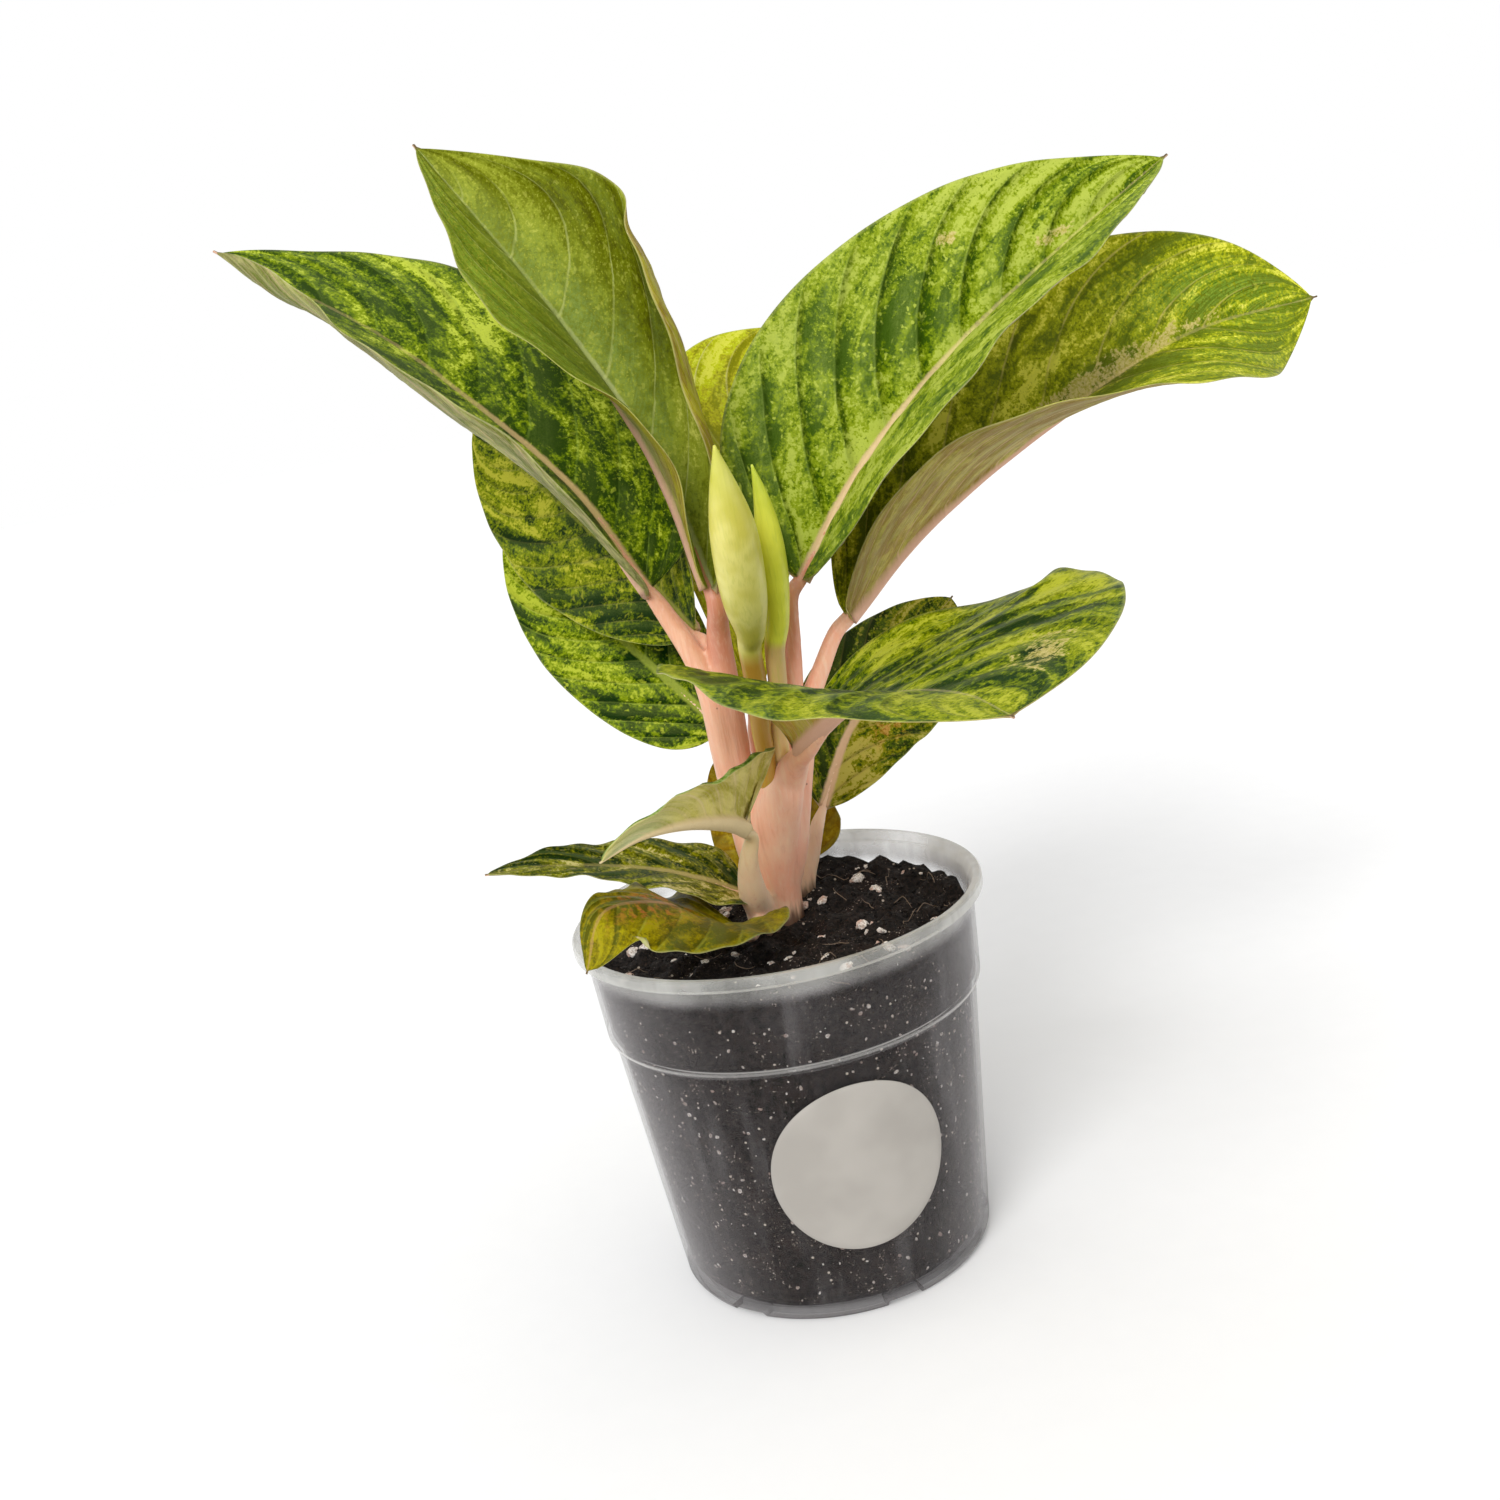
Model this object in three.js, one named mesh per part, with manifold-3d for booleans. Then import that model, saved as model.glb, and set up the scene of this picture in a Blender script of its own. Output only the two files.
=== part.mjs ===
// Potted apple green chinese evergreen: a clear nursery pot with soil, a pink stem with its petioles,
// thirteen leaf blades and two closed spathes. Millimetres, +Z up, origin at the centre of the pot's
// underside.
import * as THREE from "three";
import { mergeVertices } from "three/addons/utils/BufferGeometryUtils.js";
import Module from "manifold-3d";

const wasm = await Module();
wasm.setup();

// Driving dimensions
const potHeight = 110;
const rimRadius = 60;
const rimHeight = 3.5;
const neckRadius = 57; // wall under the rim
const ledgeHeight = 80.5; // the step that stops stacked pots from jamming
const ledgeFoot = 79; // top of the tapering body, where the ledge begins
const ledgeRadius = 55.4;
const bodyTopRadius = 53.8;
const bodyFootRadius = 46.5;
const footHeight = 3;
const footRadius = 44;
const potWall = 1.2;
const potSides = 40;
const innerLedgeFoot = ledgeFoot + 0.9; // where the wall's inner face steps out
const rimSlope = 0.5; // the rim's underside and its inner edge are this far out of square
const floorLift = 2.5; // the drained ring of the floor stands this far above the table
const padRadius = 30;
const padStep = 1; // the slope between the resting pad and the drained ring
const drainRingRadius = 41;
const drainCount = 6;
const drainHoleRadius = 3;
const drainHoleSides = 12;
const footNotchWidth = 11;
const footNotchLength = 8;
const footNotchHeight = 2.2;
const firstNotchDegrees = -130;

const soilLevel = 100;
const soilGap = 0.3;
const soilSides = 36;
const soilRings = [44, 34, 24, 12];
const stemPlace = [1, 10]; // where the stem leaves the soil
const dipDepth = 1.5; // the soil sinks this far round the stem
const dipReach = 14;
const bankHeight = 2.5; // and is banked up against one side of the wall
const bankStart = 42;
const bankReach = 12;
const perliteCount = 20;
const perliteNearest = 17;
const perliteFurthest = 50;
const perliteLeast = 1.3;
const perliteMost = 3.2;

const labelDiameter = 50;
const labelHeight = 47;
const labelDegrees = -78.5;
const labelThickness = 0.3;
const labelGap = 0.5; // from the wall's nominal radius, which its flat facets fall short of
const labelRings = 3;
const labelSides = 28;

const bladeThickness = 0.9;
const midribDepth = 2.4;
const tipShare = 0.05; // last share of a blade's length, drawn out to a point
const marginLeast = 0.8;
const seatGap = 0.5; // between a petiole's end and its blade
const holeClearance = 0.9;
const pegDepth = 20; // how far the stems stand in the soil
const petioleLead = 6; // length of the straight end that meets the blade
const petioleDrop = 1.5; // a petiole's centre lies this far under the blade's upper face
const petioleSides = 8;
const stepsPerPoint = 1.6;
const stubRadius = 2.6; // the stalks that carry the spathes
const spatheSides = 10;
const spatheStepsPerPoint = 1.4;

// Colours
const potColour = 0xc9cccb;
const soilColour = 0x2b211b;
const labelColour = 0xc8c3be;
const stemColour = 0xe0a694;
const spatheColour = 0xd9d766;

const point = (p) => new THREE.Vector3(p[0], p[1], p[2]);
const radians = THREE.MathUtils.degToRad;

// A smooth curve through a few points
function curveThrough(points) {
  return new THREE.CatmullRomCurve3(points.map(point), false, "catmullrom");
}

// A value that changes smoothly along a leaf or tube, from equally spaced values or from one number
function along(values, share) {
  if (!Array.isArray(values)) return values;
  return curveThrough(values.map((v) => [v, 0, 0])).getPoint(share).x;
}

// Seeded draws between 0 and 1
function drawsFrom(seed) {
  let state = seed;
  return () => {
    state = (state * 1664525 + 1013904223) % 4294967296;
    return state / 4294967296;
  };
}

// Geometry from a list of points and triangles
function geometryOf(points, triangles) {
  const geometry = new THREE.BufferGeometry();
  const flat = points.flatMap((p) => [p.x, p.y, p.z]);
  geometry.setAttribute("position", new THREE.Float32BufferAttribute(flat, 3));
  geometry.setIndex(triangles.flat());
  return geometry;
}

// A closed geometry as a solid, for joins and cuts
function solidOf(geometry) {
  const bare = geometry.clone();
  bare.deleteAttribute("normal");
  bare.deleteAttribute("uv");
  const merged = mergeVertices(bare, 1e-3);
  return new wasm.Manifold(
    new wasm.Mesh({
      numProp: 3,
      vertProperties: merged.attributes.position.array,
      triVerts: new Uint32Array(merged.index.array),
    }),
  );
}

// A solid back as a geometry
function geometryFrom(solid) {
  const mesh = solid.getMesh();
  const geometry = new THREE.BufferGeometry();
  geometry.setAttribute("position", new THREE.BufferAttribute(mesh.vertProperties, 3));
  geometry.setIndex(new THREE.BufferAttribute(mesh.triVerts, 1));
  geometry.computeVertexNormals();
  return geometry;
}

function joined(solids) {
  return solids.reduce((whole, next) => whole.add(next));
}

// A round, tapering tube through points, closed at both ends
function taperedTube(points, radii, sides, steps) {
  const curve = curveThrough(points);
  const vertices = [];
  const triangles = [];
  let side = new THREE.Vector3(1, 0.2, 0);
  for (let i = 0; i <= steps; i++) {
    const share = i / steps;
    const centre = curve.getPoint(share);
    const tangent = curve.getTangent(share);
    side = side.addScaledVector(tangent, -side.dot(tangent)).normalize();
    const other = new THREE.Vector3().crossVectors(tangent, side);
    const radius = along(radii, share);
    for (let k = 0; k < sides; k++) {
      const turn = (2 * Math.PI * k) / sides;
      const ringPoint = centre.clone();
      ringPoint.addScaledVector(side, radius * Math.cos(turn));
      ringPoint.addScaledVector(other, radius * Math.sin(turn));
      vertices.push(ringPoint);
    }
  }
  for (let i = 0; i < steps; i++) {
    for (let k = 0; k < sides; k++) {
      const a = i * sides + k;
      const b = i * sides + ((k + 1) % sides);
      triangles.push([a, b, b + sides], [a, b + sides, a + sides]);
    }
  }
  const last = steps * sides;
  for (let k = 1; k < sides - 1; k++) {
    triangles.push([0, k + 1, k], [last, last + k, last + k + 1]);
  }
  return geometryOf(vertices, triangles);
}

// Leaves. A midrib is a smooth curve from the blade's base to its tip. Each half has a greatest width
// in mm, a fold (degrees that it leaves the midrib at, towards the upper face), a curl (degrees that it
// bends by on its way to the margin) and a lean (how far its margin slants back to the base, as a share
// of the width). Lists run from base to tip. "up" is the side that the upper face looks to, "broad" the
// share of the length where the blade is widest, "full" how bluntly it ends.
const leaves = [
  {
    name: "leaf_upper_left",
    midrib: [[-2, 4, 202], [-7, 6, 229], [-15, 10, 253], [-34, 20, 291], [-60, 36, 335]],
    up: [0, -1, 0.2],
    broad: 0.38,
    full: 1.4,
    left: { width: [16, 24, 38, 38, 32], fold: [80, 97, 70, 64, 64], curl: 0 },
    right: {
      width: [20, 34, 52, 60, 52],
      fold: 0,
      curl: [100, 120, 114, 66, 20],
      lean: [0, 0, 0, 0.3, 0.4],
    },
    colour: 0x87922e,
  },
  {
    name: "leaf_far_left",
    midrib: [[-19, 14, 203], [-34, 18, 234], [-56, 26, 261], [-83, 36, 288], [-124, 48, 318]],
    up: [0, -1, 0.5],
    broad: 0.38,
    full: 1.4,
    left: {
      width: [44, 44, 45, 46, 45, 44, 44, 44, 44],
      fold: [72, 66, 58, 53, 50, 54, 45, 20, 30],
      curl: [28, 32, 40, 44, 46, 28, 60, 125, 130],
    },
    right: { width: [46, 46, 47, 49, 48], fold: [-15, -19, -24, -29, -28], curl: 0 },
    colour: 0x4f7a1f,
  },
  {
    name: "leaf_upper_right",
    midrib: [[24, 8, 199], [45.5, 12, 225.5], [75, 18, 251], [110.5, 26, 273.5], [149, 36, 295]],
    up: [0, -1, 0.1],
    broad: 0.38,
    full: 1.4,
    left: { width: [48, 46, 43, 43, 38], fold: 0, curl: [5, 0, 0, 0, 0] },
    right: { width: 46, fold: [84, 84, 84, 80, 76], curl: 0 },
    colour: 0x4f8439,
  },
  {
    name: "leaf_far_right",
    midrib: [[36, 16, 184], [62, 20, 205], [100, 30, 225], [150, 44, 243.5], [195, 56, 247]],
    up: [-0.15, -1, 0],
    broad: 0.38,
    full: 1.4,
    left: { width: [22, 40, 47, 49, 54], fold: 0, curl: 0 },
    right: { width: [38, 40, 44, 52, 62], fold: [115, 114, 88, 60, 10], curl: 0 },
    colour: 0x86962c,
  },
  {
    name: "leaf_front_right",
    midrib: [[15, -6, 153.5], [26, -42, 171], [37, -88, 184], [46, -130, 191], [51, -160, 192]],
    up: [0, 0, 1],
    broad: 0.45,
    full: 1.3,
    left: { width: [44, 54, 56, 61, 66], fold: [60, 24, 19.5, 15, 13], curl: 0, lean: 0 },
    right: {
      width: [54, 52, 50, 50, 50],
      fold: [80, 42, 17, 5, 0],
      curl: [-20, -20, 0, 0, 0],
      lean: [0.45, 0.3, 0, 0, 0],
    },
    colour: 0x6c9130,
  },
  {
    name: "leaf_back_left",
    midrib: [[-9, 20, 188], [-22, 38, 205], [-46, 72, 230], [-69, 100, 253]],
    up: [0, -0.6, 0.8],
    broad: 0.42,
    full: 1.4,
    left: { width: [22, 25, 29, 29], fold: [-40, -40, -30], curl: 0 },
    right: { width: [18, 22, 26, 28], fold: [60, 30, -10, -10], curl: 0 },
    colour: 0x6d7d24,
  },
  {
    name: "leaf_back_left_low",
    midrib: [[-6, 24, 157], [-24, 40, 177], [-44, 60, 198], [-64, 80, 219]],
    up: [0, -0.6, 0.8],
    broad: 0.38,
    full: 1.2,
    left: { width: [22, 22, 24, 24], fold: -20, curl: 0 },
    right: { width: [10, 22, 30, 34], fold: 10, curl: 0 },
    colour: 0x6f9a2c,
  },
  {
    name: "leaf_back",
    midrib: [[4, 30, 158], [8, 58, 204], [22, 100, 240], [49, 130, 264]],
    up: [0, -1, 0.8],
    broad: 0.5,
    full: 1.5,
    left: { width: [7, 19, 38, 44], fold: 10, curl: 0 },
    right: { width: [10, 22, 40, 42], fold: 10, curl: 0 },
    colour: 0xa7b23c,
  },
  {
    name: "leaf_right_back",
    midrib: [[20, 36, 124], [33, 50, 143], [54, 68, 158], [76, 86, 172]],
    up: [0, -1, 0.5],
    broad: 0.45,
    full: 1.5,
    left: { width: 20, fold: 10, curl: 0 },
    right: { width: [20, 22, 30], fold: 10, curl: 0 },
    colour: 0x5f7f2a,
    small: true,
  },
  {
    name: "leaf_front_low",
    midrib: [[-5, -16, 137], [-10, -27, 143], [-20, -42, 149], [-31, -53, 151], [-42, -58, 148]],
    up: [0, -0.25, 1],
    broad: 0.3,
    full: 1,
    left: {
      width: [35, 22, 15, 13, 15],
      fold: [98, 95, 90, 80, 60],
      curl: [-20, -40, -40, -20, 0],
      lean: [0.45, 0.3, 0.1, 0, 0],
    },
    right: { width: [5, 5, 6, 9], fold: [60, 50, 40, 20], curl: 0, lean: 0 },
    colour: 0x8e9a52,
    small: true,
  },
  {
    name: "leaf_low_left",
    midrib: [[-10, 9, 111], [-18, 6, 117], [-34, 3, 125], [-59, -3, 133], [-79, -9, 136]],
    up: [0, -0.3, 1],
    broad: 0.3,
    full: 1,
    left: { width: [16, 18, 13, 10, 10], fold: [12, 14, 10, 5, 10], curl: 0, lean: 0.1 },
    right: { width: [19, 15, 13, 12, 12], fold: [15, 5, 5, 0], curl: 0, lean: [0.2, 0.1, 0, 0] },
    colour: 0x757a26,
    small: true,
  },
  {
    name: "leaf_over_rim",
    midrib: [[-11, -10, 106], [-20, -22, 114], [-29, -36, 127], [-44, -52, 133], [-51, -60, 120]],
    up: [0, -0.35, 1],
    broad: 0.4,
    full: 1.1,
    left: {
      width: [20, 22, 22, 22, 20],
      fold: [60, 18, -12, -25, -10],
      curl: 0,
      lean: [0.9, 0.3, 0.1, 0, 0],
    },
    right: { width: [38, 25, 13, 9, 6], fold: [8, 11, 0, 0, 0], curl: 0, lean: [0.3, 0.55, 0, 0, 0] },
    colour: 0x8f8a2c,
    small: true,
  },
  {
    name: "leaf_behind_stem",
    midrib: [[8, 42, 105], [5, 46, 112], [0, 51, 124], [-11, 56, 140]],
    up: [0, -1, 0.1],
    broad: 0.36,
    full: 1,
    left: { width: 20, fold: 5, curl: 0, lean: 0.1 },
    right: { width: [21, 20, 18, 16], fold: 5, curl: 0, lean: [0.25, 0.2, 0.1, 0] },
    colour: 0x5c521c,
    small: true,
  },
];

// How wide a half is at a share of the length, from 0 to 1 of its greatest width
function outline(leaf, share) {
  const u = Math.min(share / (1 - tipShare), 1);
  const rise = (u / leaf.broad) ** (leaf.full * leaf.broad);
  return rise * ((1 - u) / (1 - leaf.broad)) ** (leaf.full * (1 - leaf.broad));
}

// The midrib's place, direction, upward side and right-hand side at a share of the length
function midribFrame(leaf, share) {
  const curve = curveThrough(leaf.midrib);
  const ahead = curve.getTangentAt(share);
  const upward = point(leaf.up);
  upward.addScaledVector(ahead, -upward.dot(ahead)).normalize();
  const right = new THREE.Vector3().crossVectors(ahead, upward);
  return { place: curve.getPointAt(share), ahead, upward, right };
}

// The upper face's point at a share of the length and a share of the way from the midrib to a margin
function bladePoint(leaf, frame, share, half, sign, out) {
  const width = along(half.width, share) * outline(leaf, share) + marginLeast;
  const fold = radians(along(half.fold, share));
  const curl = radians(along(half.curl, share)) || 1e-4;
  const sideways = (Math.sin(fold + curl * out) - Math.sin(fold)) / curl;
  const upwards = (Math.cos(fold) - Math.cos(fold + curl * out)) / curl;
  const p = frame.place.clone();
  p.addScaledVector(frame.right, sign * width * sideways);
  p.addScaledVector(frame.upward, width * upwards);
  return p.addScaledVector(frame.ahead, -along(half.lean ?? 0, share) * width * out);
}

// A blade: the upper face, and the same grid set back by the thickness, with a deeper midrib
function bladeGeometry(leaf) {
  const steps = leaf.small ? 10 : 14;
  const shares = leaf.small ? [0, 0.1, 0.4, 0.72, 1] : [0, 0.08, 0.28, 0.52, 0.77, 1];
  const across = 2 * shares.length - 1;
  const middle = shares.length - 1;
  const rows = [];
  for (let j = 0; j <= steps; j++) {
    const share = j / steps;
    const frame = midribFrame(leaf, share);
    const row = [];
    for (let i = 0; i < across; i++) {
      const half = i < middle ? leaf.left : leaf.right;
      const sign = i < middle ? -1 : 1;
      row.push(bladePoint(leaf, frame, share, half, sign, shares[Math.abs(i - middle)]));
    }
    rows.push(row);
  }
  const upper = rows.flat();
  const at = (j, i) => j * across + i;
  const upperTriangles = [];
  for (let j = 0; j < steps; j++) {
    for (let i = 0; i < across - 1; i++) {
      upperTriangles.push([at(j, i), at(j, i + 1), at(j + 1, i + 1)]);
      upperTriangles.push([at(j, i), at(j + 1, i + 1), at(j + 1, i)]);
    }
  }
  const skin = geometryOf(upper, upperTriangles);
  skin.computeVertexNormals();
  const normals = skin.getAttribute("normal");
  const baseDirection = midribFrame(leaf, 0).ahead;
  const lower = upper.map((p, k) => {
    const share = Math.floor(k / across) / steps;
    const rib = k % across === middle ? midribDepth * (1 - share) : 0;
    const normal = new THREE.Vector3().fromBufferAttribute(normals, k);
    if (k < across) normal.projectOnPlane(baseDirection).normalize(); // a flat end to seat on
    return p.clone().addScaledVector(normal, -bladeThickness - rib);
  });
  const shift = upper.length;
  const triangles = [...upperTriangles];
  for (const [a, b, c] of upperTriangles) triangles.push([a + shift, c + shift, b + shift]);
  const edge = [];
  for (let i = 0; i < across - 1; i++) edge.push(at(0, i));
  for (let j = 0; j < steps; j++) edge.push(at(j, across - 1));
  for (let i = across - 1; i > 0; i--) edge.push(at(steps, i));
  for (let j = steps; j > 0; j--) edge.push(at(j, 0));
  edge.forEach((a, k) => {
    const b = edge[(k + 1) % edge.length];
    triangles.push([b, a, a + shift], [b, a + shift, b + shift]);
  });
  return geometryOf([...upper, ...lower], triangles);
}

// Petioles and stem. Each route starts inside the stem and ends square on its leaf's midrib.
const petioles = [
  {
    leaf: "leaf_front_right",
    route: [[2, 14, 80], [2, 14, 103], [3, 11, 124], [7, 7, 138], [10.5, 5, 144]],
    radii: [6, 6, 7.5, 7, 5.4, 4.2, 3],
  },
  {
    leaf: "leaf_upper_left",
    route: [[1, 14, 108], [-3, 14, 121], [-4, 14, 143], [-3, 13, 166], [-2, 10, 186]],
    radii: [5, 5.5, 5, 4.5, 4, 3.4, 2.8],
  },
  {
    leaf: "leaf_far_left",
    route: [[-1, 13, 108], [-3, 13, 121], [-6, 13, 144], [-7, 12, 169], [-10, 12, 182]],
    radii: [4, 4.5, 4.2, 4, 3.6, 3.2, 2.7],
  },
  {
    leaf: "leaf_upper_right",
    route: [[3, 13, 110], [6, 13, 122], [10.5, 12, 147], [16, 11, 169], [18.5, 10, 182]],
    radii: [5.5, 5.5, 5.2, 3.6, 2.8, 2.6, 2.5],
  },
  {
    leaf: "leaf_far_right",
    route: [[4, 14, 110], [8, 15, 121], [14, 15, 143], [20, 14.5, 161], [25.5, 14.7, 171]],
    radii: [5, 5, 4.5, 3.3, 2.9, 2.7, 2.5],
  },
  {
    leaf: "leaf_back_left",
    route: [[-2, 14, 112], [-5, 14, 130], [-7, 15, 150], [-7, 16, 170]],
    radii: [3.5, 3.5, 3.4, 3.2, 3, 2.6],
  },
  {
    leaf: "leaf_back_left_low",
    route: [[1, 16, 108], [0, 18, 122], [-1, 19, 138]],
    radii: [4, 4, 3.5, 3, 2.6],
  },
  {
    leaf: "leaf_back",
    route: [[3, 16, 108], [3.4, 18, 119], [3.7, 21, 132], [4, 24.5, 143]],
    radii: [4, 4, 3.6, 3.2, 3, 2.6],
  },
  {
    leaf: "leaf_front_low",
    route: [[-4.5, 6, 80], [-4.5, 6, 103], [-6, -2, 114], [-5.5, -9, 124]],
    radii: [4.5, 4.5, 4.2, 3.6, 3.2, 2.6],
  },
  {
    leaf: "leaf_low_left",
    route: [[1, 13, 102], [-3, 12, 104]],
    radii: [3, 2.6, 2.2, 2],
  },
  {
    leaf: "leaf_over_rim",
    route: [[-3, 6, 103], [-5, 1, 104]],
    radii: [2.4, 2, 1.7, 1.5],
  },
];
const sideShoot = [
  {
    leaf: "leaf_right_back",
    route: [[10, 31, 80], [10, 31, 100], [14, 33, 111]],
    radii: [3.2, 3, 2.4, 2.2, 2],
  },
  {
    leaf: "leaf_behind_stem",
    route: [[10, 31.5, 84], [10, 34.5, 90]],
    radii: [2.6, 2.4, 2.2, 2],
  },
];
const stubs = [
  [[6, 8, 136], [5, 4, 145], [5, 3, 152]],
  [[8, 8, 138], [9, 6, 148], [10, 5, 156]],
];

function petioleSolid(petiole) {
  const leaf = leaves.find((l) => l.name === petiole.leaf);
  const frame = midribFrame(leaf, 0);
  const end = (back) => {
    const p = frame.place.clone();
    p.addScaledVector(frame.upward, -petioleDrop);
    return p.addScaledVector(frame.ahead, -back).toArray();
  };
  const route = [...petiole.route, end(petioleLead), end(seatGap)];
  const steps = Math.round(stepsPerPoint * route.length);
  return solidOf(taperedTube(route, petiole.radii, petioleSides, steps));
}

function stemGeometry() {
  const tubes = petioles.map(petioleSolid);
  const stalks = stubs.map((route) => solidOf(taperedTube(route, stubRadius, petioleSides, route.length)));
  return geometryFrom(joined([...tubes, ...stalks]));
}

// Spathes: each is a pointed, closed sheath on its own stalk
const spathes = [
  {
    name: "spathe_tall",
    route: [[5, 2.9, 152.6], [5, 2.4, 159], [6, 1.2, 171], [6, -3, 184], [7, -7, 190], [7, -11, 198],
      [7, -16, 208], [7, -22, 220], [6.6, -27, 231], [6.2, -31, 243]],
    radii: [2.6, 2.6, 3, 3.2, 4.2, 6.1, 6.8, 6.4, 4.2, 0.4],
  },
  {
    name: "spathe_short",
    route: [[10.1, 5, 156.4], [11, 4, 163], [12, 3, 171], [13, 1, 182], [15, -1, 190], [16, -5, 203],
      [16.6, -9, 215], [16.3, -12, 226], [15.3, -14, 235]],
    radii: [2.6, 2.6, 2.6, 2.8, 3.4, 4.3, 3.7, 2.1, 0.4],
  },
];

// Pot: a thin clear wall with a rim, a stacking ledge, a raised floor ring with drain holes, and a
// foot that is notched beside each hole
function wallRadius(height) {
  const share = (height - footHeight) / (ledgeFoot - footHeight);
  return bodyFootRadius + (bodyTopRadius - bodyFootRadius) * share;
}

function potGeometry() {
  const profile = [
    [0, 0],
    [padRadius, 0],
    [padRadius + padStep, floorLift],
    [drainRingRadius, floorLift],
    [drainRingRadius + padStep, 0],
    [footRadius, 0],
    [bodyFootRadius, footHeight],
    [bodyTopRadius, ledgeFoot],
    [ledgeRadius, ledgeHeight],
    [neckRadius, potHeight - rimHeight - rimSlope],
    [rimRadius, potHeight - rimHeight],
    [rimRadius, potHeight],
    [neckRadius + rimSlope, potHeight],
    [neckRadius - potWall, potHeight - rimHeight],
    [ledgeRadius - potWall, ledgeHeight + 1],
    [bodyTopRadius - potWall, innerLedgeFoot],
    [bodyFootRadius - potWall, footHeight + potWall],
    [footRadius - potWall, floorLift + potWall],
    [padRadius, floorLift + potWall],
    [padRadius - padStep, potWall],
    [0, potWall],
  ];
  const shell = new THREE.LatheGeometry(profile.map(([r, z]) => new THREE.Vector2(r, z)), potSides);
  shell.rotateX(Math.PI / 2);
  let pot = solidOf(shell);
  const holeAt = (padRadius + padStep + drainRingRadius) / 2;
  for (let k = 0; k < drainCount; k++) {
    const turn = radians(firstNotchDegrees + (360 * k) / drainCount);
    const hole = new THREE.CylinderGeometry(drainHoleRadius, drainHoleRadius, 4 * floorLift, drainHoleSides);
    hole.rotateX(Math.PI / 2);
    hole.translate(holeAt * Math.cos(turn), holeAt * Math.sin(turn), floorLift);
    const notch = new THREE.BoxGeometry(footNotchLength, footNotchWidth, 2 * footNotchHeight);
    notch.translate(drainRingRadius + footNotchLength / 2, 0, 0);
    notch.rotateZ(turn);
    pot = pot.subtract(solidOf(hole)).subtract(solidOf(notch));
  }
  return geometryFrom(pot);
}

// Soil: fills the pot, rough on top, with plain holes for the stems and perlite grains in its surface
function soilHeight(x, y) {
  const ripple = Math.sin(0.31 * x + 1.3) * Math.cos(0.27 * y) + 0.7 * Math.sin(0.57 * x - 0.43 * y);
  const fromStem = Math.hypot(x - stemPlace[0], y - stemPlace[1]);
  const dip = dipDepth * Math.exp(-((fromStem / dipReach) ** 2));
  const edge = Math.max(0, (Math.hypot(x, y) - bankStart) / bankReach);
  const bank = bankHeight * edge * Math.max(0, Math.sin(Math.atan2(y, x) + 0.4));
  return soilLevel + ripple - dip + bank;
}

// Centre and radius of each stem's hole
const stemHoles = [
  [2, 14, 6],
  [-4.5, 6, 4.5],
  [10.5, 32, 3.8],
  [9, 39, 4.5],
];

function soilGeometry() {
  const inset = potWall + 2 * soilGap;
  const underside = potWall + soilGap;
  const profile = [
    [0, underside],
    [padRadius - padStep - soilGap, underside],
    [padRadius - soilGap, floorLift + underside],
    [footRadius - inset, floorLift + underside],
    [bodyFootRadius - inset, footHeight + underside + soilGap],
    [bodyTopRadius - inset, innerLedgeFoot],
    [ledgeRadius - inset, ledgeHeight + 2.5],
    [ledgeRadius - inset + 0.9, soilLevel],
    ...soilRings.map((radius) => [radius, soilLevel]),
    [0, soilLevel],
  ];
  const body = new THREE.LatheGeometry(profile.map(([r, z]) => new THREE.Vector2(r, z)), soilSides);
  body.rotateX(Math.PI / 2);
  const places = body.getAttribute("position");
  for (let k = 0; k < places.count; k++) {
    if (Math.abs(places.getZ(k) - soilLevel) > 0.01) continue;
    places.setZ(k, soilHeight(places.getX(k), places.getY(k)));
  }
  let soil = solidOf(body);
  const draw = drawsFrom(7);
  for (let k = 0; k < perliteCount; k++) {
    const turn = 2 * Math.PI * draw();
    const reach = perliteNearest + (perliteFurthest - perliteNearest) * Math.sqrt(draw());
    const size = perliteLeast + (perliteMost - perliteLeast) * draw() ** 2;
    const x = reach * Math.cos(turn);
    const y = reach * Math.sin(turn);
    const grain = new THREE.IcosahedronGeometry(size, 0);
    grain.rotateX(6 * draw());
    grain.scale(1, 0.8 + 0.3 * draw(), 0.7);
    grain.translate(x, y, soilHeight(x, y) + 0.1 * size);
    soil = soil.add(solidOf(grain));
  }
  for (const [x, y, radius] of stemHoles) {
    const wide = radius + holeClearance;
    const depth = pegDepth + soilGap;
    const hole = new THREE.CylinderGeometry(wide, wide, 2 * depth, 20);
    hole.rotateX(Math.PI / 2);
    hole.translate(x, y, soilLevel);
    soil = soil.subtract(solidOf(hole));
  }
  const largest = soil.decompose().sort((a, b) => b.volume() - a.volume())[0];
  return geometryFrom(largest);
}

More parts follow.
